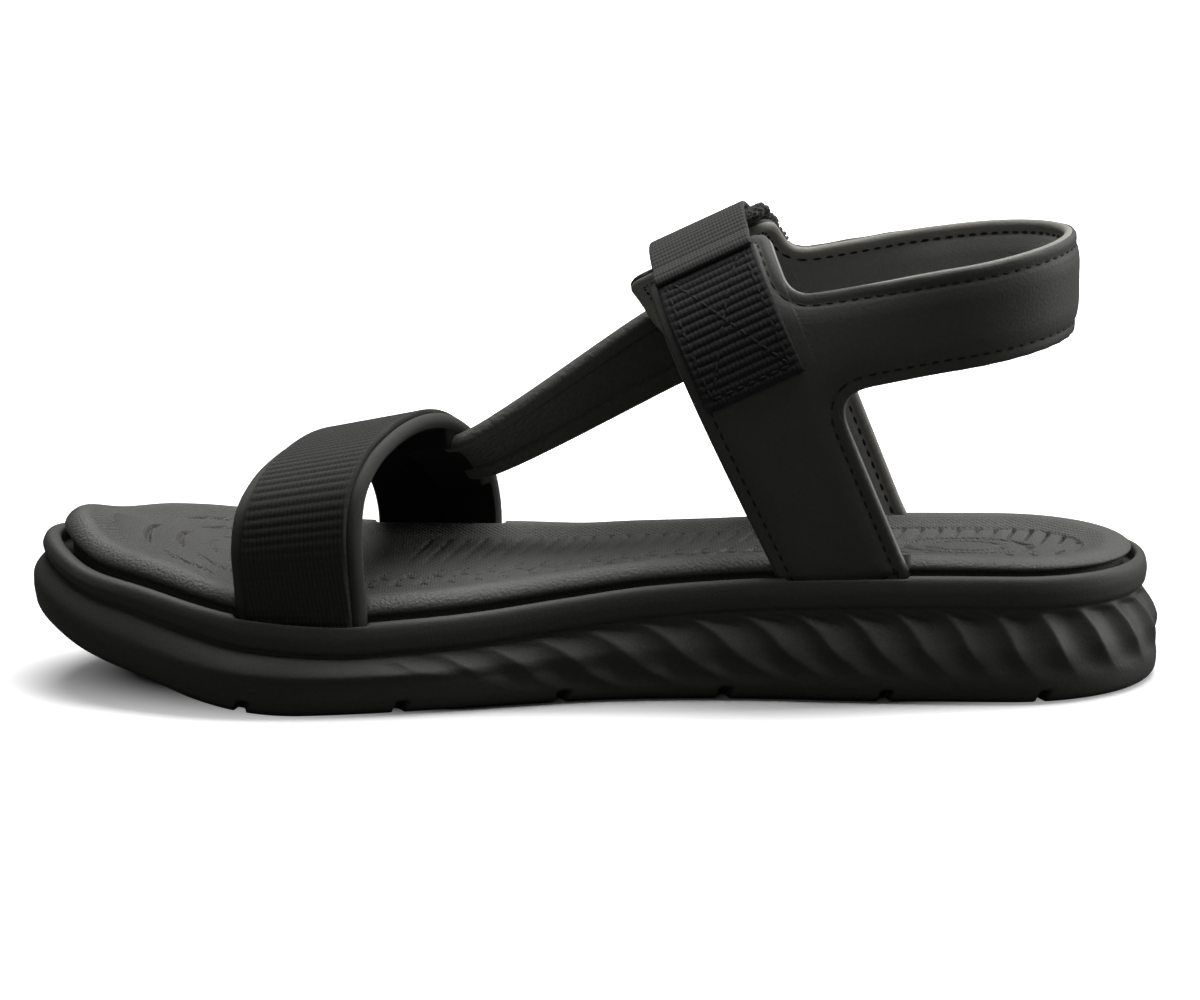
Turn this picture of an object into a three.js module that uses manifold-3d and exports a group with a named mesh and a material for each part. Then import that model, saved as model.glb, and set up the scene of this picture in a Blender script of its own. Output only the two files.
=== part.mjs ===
// A strappy sport sandal for the right foot, as separate closed solids.
// Millimetres. +X runs from toe to heel, +Y to the outer (lateral) side, +Z up.
// The origin is on the ground under the middle of the sole's bounding box.
import * as THREE from "three";
import { mergeVertices } from "three/addons/utils/BufferGeometryUtils.js";
import Module from "manifold-3d";

const wasm = await Module();
wasm.setup();

// Overall sizes.
const SOLE_LENGTH = 265;
const SOLE_WIDTH = 94;
const HEEL_RADIUS = 38;
const TOE_RADIUS = 50;
const TOE_SPRING = 21;
const TOE_SPRING_END = 0.243;
const TOE_SPRING_POWER = 2;

// Layers of the sole.
const CLEARANCE = 0.3;
const OUTSOLE_THICKNESS = 7.5;
const OUTSOLE_TOE_THICKNESS = 4.5;
const OUTSOLE_EDGE_RADIUS = 3;
const RIM_HEIGHT = 7.8;
const RIM_INSET = 4;
const RIM_GROOVE_INSET = 5;
const RIM_TOP_ROUND = 1;
const LEAST_WALL = 1.5;
const FOOTBED_INSET = 7;
const FOOTBED_DEPTH = 4;
const RIDGE_WIDTH = 5;
const FOOTBED_DISH = 1.8;
const DISH_WIDTH = 7;

// Tread grooves across the outsole.
const GROOVE_COUNT = 6;
const GROOVE_FIRST = 0.188;
const GROOVE_LAST = 0.885;
const GROOVE_WIDTH = 2.8;
const GROOVE_DEPTH = 2.5;
const GROOVE_LEAN = THREE.MathUtils.degToRad(20);

// Shank board, in a pocket under the footbed.
const SHANK_START = 0.42;
const SHANK_END = 0.8;
const SHANK_WIDTH = 20;
const SHANK_THICKNESS = 1.2;
const SHANK_STEPS = 14;

// Upper: the ends of the straps stand in slots between footbed and rim.
const SLOT_DEPTH = 7;
const SLOT_INSET = 6.4;
const SLOT_CLEARANCE = 0.45;
const SLOT_REACH = 14;
const WEBBING_THICKNESS = 1.4;
const SLEEVE_THICKNESS = 3.2;
const SLEEVE_WALL = 0.7;
const WEBBING_SINK = 3;

// Forefoot strap.
const FOREFOOT_MEDIAL = 0.2434;
const FOREFOOT_LATERAL = 0.354;
const FOREFOOT_WIDTH = 27.5;
const FOREFOOT_WEBBING_WIDTH = 22;
const FOREFOOT_WEBBING_SHIFT = -0.8;
const FOREFOOT_HEIGHT = 35.3;
const FOREFOOT_CONE = Math.tan(THREE.MathUtils.degToRad(11.5));

// Ankle upper: two leaning legs, a band round the heel and a tab over the instep.
const LEG_STATION = 0.7189;
const LEG_LEAN = THREE.MathUtils.degToRad(25.5);
const LEG_WIDTH = 28.4;
const LEG_FLARE = 0.055;
const ANKLE_YAW = THREE.MathUtils.degToRad(3.5);
const INSTEP_HALF = 29.5;
const INSTEP_HEIGHT = 79.4;
const OUTER_THICKNESS = 1.2;
const PADDING_THICKNESS = 1.5;
const LINING_THICKNESS = 0.8;
const PADDING_MARGIN = 1;
const BAND_WIDTH = 24;
const BAND_HEIGHT = 44.3;
const BAND_RADIUS = 27;
const BAND_REAR = 111.4;
const BAND_RISE = 9;
const BAND_LATERAL_LIFT = 2.2;
const CORNER_RADIUS = 7;
const END_RADIUS = 5;
const MEDIAL_END = 9;
const TAB_END = 9.5;
const TAB_REACH = 7;
const TAB_FLARE_START = 42;
const TAB_FLARE_END = 18;

// Instep strap, from the forefoot strap to the tab.
const INSTEP_SLEEVE_THICKNESS = 3;
const INSTEP_SLEEVE_WALL = 0.6;
const SLEEVE_MOUTH = 1;
const INSTEP_BINDING = 3;
const INSTEP_LOWER = 0.84;
const INSTEP_UPPER = 0.34;
const INSTEP_LAP = 10;
const INSTEP_TAB_LAP = 7;
const INSTEP_TAB_UPPER = 29;
const INSTEP_TAB_LOWER = 48.5;
const INSTEP_WEBBING_START = 0.57;

// Closure over the instep.
const CLOSURE_WIDTH = 24.5;
const CLOSURE_SHIFT = 0.6;
const ANCHOR_END = 47;
const HINGE_REACH = 13;
const FLAP_END = 60;
const TAPE_WIDTH = 23;
const HOOK_THICKNESS = 1;
const LOOP_THICKNESS = 1.2;
const HOOK_START = 20;
const HOOK_END = 57;
const LOOP_START = 12;
const LOOP_END = 64;
const LIFT_END = 11;
const STITCH_SIZE = 0.9;
const STITCH_MARGIN = 2.4;
const STITCH_LENGTH = 30;
const WINDOW_STEPS = 6;
const WINDOW_END = 0.95;

// Profiles along the sole as [share of the length from the toe, value].
// Centre and half width are shares of half the sole's width; the others are millimetres.
const CENTRE_LINE = [
  [0, -0.149], [0.0925, -0.085], [0.1415, -0.064], [0.217, -0.027], [0.281, 0.011],
  [0.368, 0.069], [0.5, 0.133], [0.613, 0.101], [0.726, 0.043], [0.847, 0.016], [1, 0.011],
];
const HALF_WIDTH = [
  [0, 0.81], [0.0925, 0.851], [0.1415, 0.904], [0.217, 0.973], [0.281, 0.979],
  [0.368, 0.931], [0.5, 0.814], [0.613, 0.75], [0.726, 0.745], [0.847, 0.75], [1, 0.75],
];
const SEAM_HEIGHT = [
  [0, 35], [0.04, 30.7], [0.089, 28.6], [0.134, 26.1], [0.19, 23.2], [0.274, 21],
  [0.33, 21.2], [0.402, 22.1], [0.477, 24.1], [0.549, 26.4], [0.66, 28.4], [0.787, 29.4], [1, 29.1],
];
const LATERAL_RISE = [
  [0, 1], [0.15, 2.6], [0.2, 2.9], [0.3, 2], [0.42, 0.5],
  [0.5, -1.6], [0.6, -2.3], [0.75, -1.3], [1, 0],
];
const RIDGE_HEIGHT = [
  [0, 5.2], [0.31, 5], [0.5, 4.6], [0.65, 4.5], [0.86, 3.4], [1, 2.9],
];

// Forefoot arch, medial to lateral: [share of the half span, share of the arch height].
const FOREFOOT_ARCH = [
  [-1.05, 0.32], [-1.07, 0.53], [-1.01, 0.75], [-0.82, 0.9], [-0.5, 0.985], [-0.15, 1],
  [0.2, 0.94], [0.5, 0.81], [0.74, 0.64], [0.9, 0.45], [0.99, 0.22],
];
// Half of the instep arch, base to crest: [share of the half width, share of the height].
const INSTEP_ARCH = [
  [0.94, 0.12], [0.985, 0.32], [1, 0.5], [0.975, 0.64], [0.87, 0.78], [0.68, 0.89],
  [0.38, 0.97], [0, 1],
];

// Fineness of the meshes.
const RING_HALF = 40;
const CAP_COLUMNS = 4;
const STRAP_STEP = 3;
const CORNER_STEPS = 3;
const LEG_COLUMNS = 4;
const LEG_ROWS = 7;
const BAND_ROWS = 7;
const TOP_ROWS = 4;
const BAND_COLUMNS = 11;
const INSTEP_STEPS = 30;
const INSTEP_COLUMNS = 4;
const SEARCH_STEP = 0.05;

const { lerp, clamp, smoothstep } = THREE.MathUtils;

// A smooth curve through [position, value] pairs, read at one position.
function along(table, position) {
  const last = table.length - 1;
  const t = clamp(position, table[0][0], table[last][0]);
  let i = 0;
  while (i < last - 1 && t > table[i + 1][0]) i += 1;
  const slope = (k) => {
    const before = table[Math.max(k - 1, 0)];
    const after = table[Math.min(k + 1, last)];
    return (after[1] - before[1]) / (after[0] - before[0]);
  };
  const span = table[i + 1][0] - table[i][0];
  const s = (t - table[i][0]) / span;
  const rise = table[i + 1][1] - table[i][1];
  const ease = s * s * (3 - 2 * s);
  const startPull = slope(i) * span * s * (1 - s) * (1 - s);
  const endPull = slope(i + 1) * span * s * s * (s - 1);
  return table[i][1] + rise * ease + startPull + endPull;
}

const lengthwise = (t) => (t - 0.5) * SOLE_LENGTH;
const stationOf = (x) => x / SOLE_LENGTH + 0.5;
const centreLine = (t) => (along(CENTRE_LINE, t) * SOLE_WIDTH) / 2;

// Half of the outline's width, with round caps at toe and heel.
function halfWidth(t) {
  const x = lengthwise(t);
  const intoToe = clamp((-SOLE_LENGTH / 2 + TOE_RADIUS - x) / TOE_RADIUS, 0, 1);
  const intoHeel = clamp((x - SOLE_LENGTH / 2 + HEEL_RADIUS) / HEEL_RADIUS, 0, 1);
  const cap = Math.sqrt(1 - intoToe ** 2) * Math.sqrt(1 - intoHeel ** 2);
  return (along(HALF_WIDTH, t) * cap * SOLE_WIDTH) / 2;
}

// Height of the underside: flat, then rising to the toe.
function groundHeight(t) {
  const rise = Math.max(0, (TOE_SPRING_END - t) / TOE_SPRING_END);
  return TOE_SPRING * rise ** TOE_SPRING_POWER;
}

function outsoleTop(t) {
  const toe = smoothstep(TOE_SPRING_END - t, 0, TOE_SPRING_END);
  return groundHeight(t) + lerp(OUTSOLE_THICKNESS, OUTSOLE_TOE_THICKNESS, toe);
}

// Height of the rim's top; side runs from -1 (medial) to 1 (lateral).
function seamHeight(t, side) {
  return along(SEAM_HEIGHT, t) + (along(LATERAL_RISE, t) * (side + 1)) / 2;
}

function rimBottom(t, side) {
  return Math.max(seamHeight(t, side) - RIM_HEIGHT, outsoleTop(t) + CLEARANCE + LEAST_WALL);
}

const ridgeTop = (t, side) => seamHeight(t, side) + along(RIDGE_HEIGHT, t);

// Points of the sole's outline, from the toe along the medial side to the heel and back.
function outlinePoints() {
  const points = [];
  for (let j = 0; j < 2 * RING_HALF; j += 1) {
    const x = (-SOLE_LENGTH / 2) * Math.cos((Math.PI * j) / RING_HALF);
    const t = stationOf(x);
    const sign = j < RING_HALF ? -1 : 1;
    const reach = halfWidth(t);
    const side = (sign * reach) / ((along(HALF_WIDTH, t) * SOLE_WIDTH) / 2);
    points.push({ t, side, x, y: centreLine(t) + sign * reach });
  }
  return points;
}

const OUTLINE = outlinePoints();

// One ring round the sole, inset from the outline, at the height that height(t, side) gives.
function ring(inset, height) {
  return OUTLINE.map((point, j) => {
    const before = OUTLINE[(j + OUTLINE.length - 1) % OUTLINE.length];
    const after = OUTLINE[(j + 1) % OUTLINE.length];
    const outward = new THREE.Vector2(after.y - before.y, before.x - after.x).normalize();
    const x = point.x - outward.x * inset;
    const y = point.y - outward.y * inset;
    return new THREE.Vector3(x, y, height(point.t, point.side));
  });
}

// A closed body from rings, lowest first, with a cap below and one above.
function loft(rings, bottomHeight, topHeight) {
  const positions = [];
  const faces = [];
  const count = OUTLINE.length;
  const add = (p) => positions.push(p.x, p.y, p.z) / 3 - 1;
  const quad = (a, b, c, d) => faces.push(a, b, c, a, c, d);
  rings.flat().forEach(add);
  for (let level = 0; level + 1 < rings.length; level += 1) {
    for (let j = 0; j < count; j += 1) {
      const next = (j + 1) % count;
      const low = level * count;
      const high = low + count;
      quad(low + j, low + next, high + next, high + j);
    }
  }
  const cap = (level, height, upward) => {
    const rows = [];
    for (let i = 0; i <= RING_HALF; i += 1) {
      const medial = level * count + i;
      const lateral = level * count + ((count - i) % count);
      const row = [medial];
      for (let k = 1; k < CAP_COLUMNS; k += 1) {
        const across = k / CAP_COLUMNS;
        const p = rings[level][i].clone().lerp(rings[level][(count - i) % count], across);
        p.z = height(OUTLINE[i].t, lerp(OUTLINE[i].side, -OUTLINE[i].side, across));
        row.push(medial === lateral ? medial : add(p));
      }
      row.push(lateral);
      rows.push(row);
    }
    for (let i = 0; i < RING_HALF; i += 1) {
      for (let k = 0; k < CAP_COLUMNS; k += 1) {
        const corners = [rows[i][k], rows[i + 1][k], rows[i + 1][k + 1], rows[i][k + 1]];
        if (!upward) corners.reverse();
        quad(...corners);
      }
    }
  };
  cap(0, bottomHeight, false);
  cap(rings.length - 1, topHeight, true);
  const kept = [];
  for (let f = 0; f < faces.length; f += 3) {
    const [a, b, c] = faces.slice(f, f + 3);
    if (a !== b && b !== c && c !== a) kept.push(a, b, c);
  }
  const geometry = new THREE.BufferGeometry();
  geometry.setAttribute("position", new THREE.Float32BufferAttribute(positions, 3));
  geometry.setIndex(kept);
  return geometry;
}

// A three.js geometry as a manifold-3d solid, turned to face outwards.
function solid(geometry) {
  const plain = geometry.clone();
  plain.deleteAttribute("normal");
  plain.deleteAttribute("uv");
  const merged = mergeVertices(plain, 1e-4);
  const vertProperties = merged.getAttribute("position").array;
  const triVerts = new Uint32Array(merged.index.array);
  const made = new wasm.Manifold(new wasm.Mesh({ numProp: 3, vertProperties, triVerts }));
  if (made.volume() > 0) return made;
  triVerts.reverse();
  return new wasm.Manifold(new wasm.Mesh({ numProp: 3, vertProperties, triVerts }));
}

// A manifold-3d solid as a three.js geometry.
function geometryOf(made) {
  const { vertProperties, triVerts } = made.getMesh();
  const geometry = new THREE.BufferGeometry();
  geometry.setAttribute("position", new THREE.Float32BufferAttribute(vertProperties, 3));
  geometry.setIndex([...triVerts]);
  geometry.computeVertexNormals();
  return geometry;
}

const cutAway = (body, cutters) => cutters.reduce((left, cutter) => left.subtract(cutter), body);

function spread(from, to, steps) {
  return Array.from({ length: steps + 1 }, (_, k) => lerp(from, to, k / steps));
}

function spanOf(from, to) {
  const steps = Math.max(2, Math.round(Math.abs(to - from) / STRAP_STEP));
  return spread(from, to, steps);
}

// A box bent along a surface: at(u, v, w) places each of its points, at each station of u.
function bent(at, stations, [v0, v1], [w0, w1], vSteps = 1) {
  const steps = stations.length - 1;
  const box = new THREE.BoxGeometry(1, 1, 1, steps, vSteps, 1);
  const position = box.getAttribute("position");
  for (let i = 0; i < position.count; i += 1) {
    const u = stations[Math.round((position.getX(i) + 0.5) * steps)];
    const v = lerp(v0, v1, position.getY(i) + 0.5);
    const w = lerp(w0, w1, position.getZ(i) + 0.5);
    position.setXYZ(i, ...at(u, v, w));
  }
  return solid(box);
}

// A sleeve open at both ends; past is how far its hollow is cut beyond each end.
function sleeve(at, stations, [v0, v1], thickness, wall, past, vSteps = 1) {
  const half = thickness / 2;
  const outer = bent(at, stations, [v0, v1], [-half, half], vSteps);
  const longer = [stations[0] - past, ...stations, stations[stations.length - 1] + past];
  const hollow = bent(at, longer, [v0 + wall, v1 - wall], [wall - half, half - wall], vSteps);
  return outer.subtract(hollow);
}

// The forefoot arch as a curve of (run, height) points that ends in straight slots.
const forefoot = (() => {
  const inset = SLOT_INSET + WEBBING_THICKNESS + CLEARANCE + SLEEVE_THICKNESS / 2;
  const foot = (t, side) => {
    const y = centreLine(t) + side * (halfWidth(t) - inset);
    return new THREE.Vector3(lengthwise(t), y, seamHeight(t, side));
  };
  const medial = foot(FOREFOOT_MEDIAL, -1);
  const lateral = foot(FOREFOOT_LATERAL, 1);
  const run = new THREE.Vector3().subVectors(lateral, medial).setZ(0);
  const span = run.length();
  run.normalize();
  const over = ([share, height]) => {
    const place = (share + 1) / 2;
    const base = lerp(medial.z, lateral.z, place);
    return new THREE.Vector3(place * span, base + height * FOREFOOT_HEIGHT, 0);
  };
  const low = SLOT_DEPTH;
  const points = [
    new THREE.Vector3(0, medial.z - low, 0),
    new THREE.Vector3(0, medial.z, 0),
    ...FOREFOOT_ARCH.map(over),
    new THREE.Vector3(span, lateral.z, 0),
    new THREE.Vector3(span, lateral.z - low, 0),
  ];
  const curve = new THREE.CatmullRomCurve3(points);
  const length = curve.getLength();
  const skew = run.y;
  // A point u along the arch, v towards the heel and w outward. The strap's ends follow the
  // sole's edge, so v is laid off along X.
  const at = (u, v, w) => {
    const share = clamp(u / length, 0, 1);
    const place = curve.getPointAt(share);
    const tangent = curve.getTangentAt(share);
    const past = u - share * length;
    const rise = (place.y - lerp(medial.z, lateral.z, place.x / span)) / FOREFOOT_HEIGHT;
    const p = place.x + tangent.x * past - tangent.y * w;
    const height = place.y + tangent.y * past + tangent.x * w;
    return new THREE.Vector3(medial.x + v / skew, medial.y, 0)
      .addScaledVector(run, p)
      .setZ(height + v * FOREFOOT_CONE * clamp(rise, 0, 1));
  };
  // How far along the arch the lateral slope has a given share of the half span.
  const lateralShare = (share) => {
    let u = length / 2;
    while (curve.getPointAt(u / length).x < ((share + 1) / 2) * span) u += SEARCH_STEP;
    return u;
  };
  return { at, length, lateralShare };
})();

// The surface of the ankle upper. It arches over the instep across the foot and leans
// forward by LEG_LEAN; reach is measured from the crest, negative on the medial side.
const ankle = (() => {
  const across = new THREE.Vector3(Math.cos(LEG_LEAN), 0, Math.sin(LEG_LEAN));
  const upward = new THREE.Vector3(-Math.sin(LEG_LEAN), 0, Math.cos(LEG_LEAN));
  const stack = OUTER_THICKNESS + PADDING_THICKNESS + LINING_THICKNESS + 2 * CLEARANCE;
  const middle = centreLine(LEG_STATION);
  const half = halfWidth(LEG_STATION) - SLOT_INSET - stack / 2;
  const seam = seamHeight(LEG_STATION, 0);
  const scaled = ([a, b]) => new THREE.Vector3(a * INSTEP_HALF, b * INSTEP_HEIGHT, 0);
  const points = [
    ...[...INSTEP_ARCH].reverse().map(scaled),
    new THREE.Vector3(half, 0, 0),
    new THREE.Vector3(half, -SLOT_DEPTH, 0),
  ];
  const mirrored = points.slice(1).reverse().map((p) => new THREE.Vector3(-p.x, p.y, 0));
  const curve = new THREE.CatmullRomCurve3([...mirrored, ...points]);
  const length = curve.getLength();
  const origin = new THREE.Vector3(lengthwise(LEG_STATION), middle, seam);
  const pivotX = BAND_REAR - BAND_RADIUS;
  const pivot = new THREE.Vector3(pivotX, centreLine(stationOf(pivotX)), 0);
  const upAxis = new THREE.Vector3(0, 0, 1);
  // Turns a point of the upright upper to the foot's own direction on the sole.
  const turned = (p) => p.sub(pivot).applyAxisAngle(upAxis, -ANKLE_YAW).add(pivot);
  const arch = (reach) => {
    const share = clamp(0.5 + reach / length, 0, 1);
    const place = curve.getPointAt(share);
    const tangent = curve.getTangentAt(share);
    place.addScaledVector(tangent, reach - (share - 0.5) * length);
    return { y: place.x, q: place.y, ny: -tangent.y, nq: tangent.x };
  };
  // A point at a reach from the crest, r across the strap and w outward.
  const at = (reach, r, w) => {
    const { y, q, ny, nq } = arch(reach);
    const p = origin.clone().addScaledVector(across, r).addScaledVector(upward, q + w * nq);
    p.y = pivot.y + y + w * ny;
    return turned(p);
  };
  const base = length / 2 - SLOT_DEPTH;
  return { at, arch, base, stack, across, upward, origin, pivot, turned };
})();

// Layers of the ankle upper as [inner face, outer face], outward from its middle surface.
const LINING_LAYER = [-ankle.stack / 2, LINING_THICKNESS - ankle.stack / 2];
const PADDING_LAYER = [LINING_LAYER[1] + CLEARANCE, LINING_LAYER[1] + CLEARANCE + PADDING_THICKNESS];
const OUTER_LAYER = [PADDING_LAYER[1] + CLEARANCE, ankle.stack / 2];

// The flat pattern of the ankle upper lies in side view. x runs to the heel's centre line and
// on to the mirrored lateral half; the legs are given by r across and g up from the seam.
const pattern = (() => {
  const bendStart = BAND_REAR - BAND_RADIUS - ankle.stack / 2;
  const heelCentre = bendStart + (BAND_RADIUS * Math.PI) / 2;
  const leg = (r, g) => {
    const p = ankle.origin.clone().addScaledVector(ankle.across, r).addScaledVector(ankle.upward, g);
    return new THREE.Vector2(p.x, p.z);
  };
  return { bendStart, heelCentre, leg };
})();

// Folds a flat pattern point round the instep and the heel, w outward from the middle surface.
function foldPattern(flatX, flatZ, w) {
  const { bendStart, heelCentre } = pattern;
  const lateral = flatX > heelCentre ? 1 : -1;
  const x = lateral > 0 ? 2 * heelCentre - flatX : flatX;
  const offset = new THREE.Vector3(x - ankle.origin.x, 0, flatZ - ankle.origin.z);
  const r = offset.dot(ankle.across);
  const g = offset.dot(ankle.upward);
  const reach = ankle.base - g;
  const { y, q, ny, nq } = ankle.arch(reach);
  const round = smoothstep(x, ankle.origin.x, bendStart);
  const out = lerp(y, BAND_RADIUS, round) + w * lerp(ny, 1, round);
  const lifted = lerp(q, g, round) + w * nq * (1 - round);
  const p = ankle.origin.clone().addScaledVector(ankle.across, r).addScaledVector(ankle.upward, lifted);
  const turn = Math.max(0, x - bendStart) / BAND_RADIUS;
  if (turn > 0) p.x = bendStart + Math.sin(turn) * out;
  p.y = ankle.pivot.y + lateral * Math.cos(turn) * out;
  return ankle.turned(p);
}

// Points of the curve that rounds a corner between two neighbours.
function cornerCurve(before, corner, after, radius) {
  const back = before.clone().sub(corner).normalize();
  const on = after.clone().sub(corner).normalize();
  const halfAngle = Math.acos(clamp(back.dot(on), -1, 1)) / 2;
  const cut = radius / Math.tan(halfAngle);
  const start = corner.clone().addScaledVector(back, cut);
  const end = corner.clone().addScaledVector(on, cut);
  return new THREE.QuadraticBezierCurve(start, corner, end).getPoints(CORNER_STEPS);
}

// How far an edge draws in where the end of a leg is rounded.
function endRounding(below, radius) {
  if (below >= radius) return 0;
  return radius - Math.sqrt(radius ** 2 - (radius - below) ** 2);
}

// One half of the ankle upper's pattern as two blocks of points: a leg, whose rows run up from
// legEnd below the seam, and the band, whose rows start on the leg's rear edge.
function halfBlocks(margin, legEnd, { end, tabReach, lift }) {
  const { bendStart, heelCentre, leg } = pattern;
  const edge = LEG_WIDTH / 2 - margin;
  const rearEdge = (g) => edge + LEG_FLARE * clamp(g, 0, BAND_HEIGHT);
  const onRearEdge = (g) => leg(rearEdge(g), g);
  const rise = (BAND_RISE - lift) / (bendStart + BAND_RADIUS - ankle.origin.x);
  // How far back a pattern point lies once the band is round the heel.
  const foldedX = (x) => {
    const turn = Math.max(0, x - bendStart) / BAND_RADIUS;
    return Math.min(x, bendStart + BAND_RADIUS * Math.sin(turn));
  };
  const bandBase = ankle.origin.z + BAND_HEIGHT + lift + margin;
  const bandLow = (x) => bandBase + rise * (foldedX(x) - ankle.origin.x);
  const bandHigh = (x) => bandLow(x) + BAND_WIDTH - 2 * margin;
  // The leg's rear edge from g, round a corner and along the band.
  const edgePath = (g, height) => {
    let crossing = BAND_HEIGHT / 2;
    while (onRearEdge(crossing).y < height(onRearEdge(crossing).x)) crossing += SEARCH_STEP;
    const corner = onRearEdge(crossing);
    const beyond = corner.x + 2 * CORNER_RADIUS;
    const after = new THREE.Vector2(beyond, height(beyond));
    const path = cornerCurve(onRearEdge(g), corner, after, CORNER_RADIUS + margin);
    const from = path[path.length - 1].x;
    for (let k = 1; k <= BAND_COLUMNS; k += 1) {
      const x = lerp(from, heelCentre, k / BAND_COLUMNS);
      path.push(new THREE.Vector2(x, height(x)));
    }
    return path;
  };
  const top = ankle.base - end - margin;
  const low = edgePath(0, bandLow);
  const high = edgePath(top, bandHigh);
  const flatOrigin = new THREE.Vector2(ankle.origin.x, ankle.origin.z);
  const flatUp = new THREE.Vector2(ankle.upward.x, ankle.upward.z);
  const gOf = (p) => p.clone().sub(flatOrigin).dot(flatUp);
  const rows = [];
  const addRows = (from, to, count) => {
    for (let k = 0; k < count; k += 1) rows.push(lerp(from, to, k / count));
  };
  const radius = END_RADIUS;
  addRows(-legEnd, gOf(low[0]), LEG_ROWS);
  const firstBandRow = rows.length;
  addRows(gOf(low[0]), gOf(high[0]), BAND_ROWS);
  addRows(gOf(high[0]), top - radius, TOP_ROWS);
  for (let k = 0; k <= CORNER_STEPS; k += 1) {
    const turn = ((k / CORNER_STEPS) * Math.PI) / 2;
    rows.push(top - radius * (1 - Math.sin(turn)));
  }
  const legBlock = rows.map((g) => {
    const reach = tabReach * smoothstep(g, top - TAB_FLARE_START, top - TAB_FLARE_END);
    const rounded = endRounding(top - g, radius);
    const front = -edge - reach + rounded;
    const rear = rearEdge(g) - rounded;
    return spread(front, rear, LEG_COLUMNS).map((r) => leg(r, g));
  });
  const bandBlock = spread(0, 1, BAND_ROWS).map((share, row) => {
    const start = legBlock[firstBandRow + row][LEG_COLUMNS];
    const beyond = low.slice(1).map((p, k) => p.clone().lerp(high[k + 1], share));
    return [start, ...beyond];
  });
  return [legBlock, bandBlock];
}

// A closed skin over blocks of flat points, folded, between two distances from the middle.
function foldedSkin(blocks, [inner, outer]) {
  const flat = [];
  const indexOf = new Map();
  const vertex = (p) => {
    const key = `${p.x.toFixed(3)},${p.y.toFixed(3)}`;
    if (!indexOf.has(key)) indexOf.set(key, flat.push(p) - 1);
    return indexOf.get(key);
  };
  const quads = [];
  for (const block of blocks) {
    for (let j = 0; j + 1 < block.length; j += 1) {
      for (let i = 0; i + 1 < block[j].length; i += 1) {
        const corners = [block[j][i], block[j][i + 1], block[j + 1][i + 1], block[j + 1][i]];
        if (THREE.ShapeUtils.area(corners) < 0) corners.reverse();
        quads.push(corners.map(vertex));
      }
    }
  }
  const count = flat.length;
  const folded = (w) => flat.flatMap((p) => [...foldPattern(p.x, p.y, w)]);
  const positions = [...folded(inner), ...folded(outer)];
  const edges = new Set(quads.flatMap((q) => q.map((from, k) => `${from},${q[(k + 1) % 4]}`)));
  const faces = [];
  for (const q of quads) {
    const [a, b, c, d] = q;
    faces.push(a, c, b, a, d, c);
    faces.push(a + count, b + count, c + count, a + count, c + count, d + count);
    q.forEach((from, k) => {
      const to = q[(k + 1) % 4];
      if (edges.has(`${to},${from}`)) return;
      faces.push(from, to, to + count, from, to + count, from + count);
    });
  }
  const geometry = new THREE.BufferGeometry();
  geometry.setAttribute("position", new THREE.Float32BufferAttribute(positions, 3));
  geometry.setIndex(faces);
  return solid(geometry);
}

// One layer of the ankle upper, shrunk by margin, with legs that end legEnd below the seam.
function ankleLayer(layer, margin, legEnd) {
  const mirror = (p) => new THREE.Vector2(2 * pattern.heelCentre - p.x, p.y);
  const medial = halfBlocks(margin, legEnd, { end: MEDIAL_END, tabReach: 0, lift: 0 });
  const tab = { end: TAB_END, tabReach: TAB_REACH, lift: BAND_LATERAL_LIFT };
  const lateral = halfBlocks(margin, legEnd, tab);
  const mirrored = lateral.map((block) => block.map((row) => row.map(mirror)));
  return foldedSkin([...medial, ...mirrored], layer);
}

// The surface of the instep strap: three curves that lie inside the forefoot strap at one end
// and outside the tab at the other.
const instep = (() => {
  const inForefoot = -(SLEEVE_THICKNESS / 2 + CLEARANCE + INSTEP_SLEEVE_THICKNESS / 2);
  const onTab = ankle.stack / 2 + CLEARANCE + INSTEP_SLEEVE_THICKNESS / 2;
  const rearEdge = FOREFOOT_WIDTH / 2;
  const front = -LEG_WIDTH / 2 - TAB_REACH;
  const curveAt = (b) => {
    const u = lerp(forefoot.lateralShare(INSTEP_LOWER), forefoot.lateralShare(INSTEP_UPPER), b);
    const reach = lerp(INSTEP_TAB_LOWER, INSTEP_TAB_UPPER, b);
    return new THREE.CatmullRomCurve3([
      forefoot.at(u, rearEdge - INSTEP_LAP, inForefoot),
      forefoot.at(u, rearEdge - INSTEP_LAP / 2, inForefoot),
      forefoot.at(u, rearEdge + CLEARANCE, inForefoot - CLEARANCE),
      ankle.at(reach, front, onTab),
      ankle.at(reach, front + INSTEP_TAB_LAP, onTab),
    ]);
  };
  const curves = [0, 0.5, 1].map(curveAt);
  const surface = (a, b) => {
    const [low, mid, high] = curves.map((curve) => curve.getPoint(clamp(a, 0, 1)));
    return low
      .multiplyScalar((1 - b) * (1 - 2 * b))
      .addScaledVector(mid, 4 * b * (1 - b))
      .addScaledVector(high, b * (2 * b - 1));
  };
  const width = surface(0.5, 0).distanceTo(surface(0.5, 1));
  // a is a share of the length, v millimetres across from the lower edge, w outward.
  const at = (a, v, w) => {
    const b = v / width;
    const step = 0.01;
    const place = surface(a, b);
    const lengthwards = surface(Math.min(a + step, 1), b).sub(surface(Math.max(a - step, 0), b));
    const upwards = surface(a, b + step).sub(surface(a, b - step));
    const outward = lengthwards.clone().cross(upwards).normalize();
    if (outward.y + outward.z < 0) outward.negate();
    const past = a - clamp(a, 0, 1);
    return place.addScaledVector(lengthwards, past / step).addScaledVector(outward, w);
  };
  return { at, width };
})();

// ---- The sole ----

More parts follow.
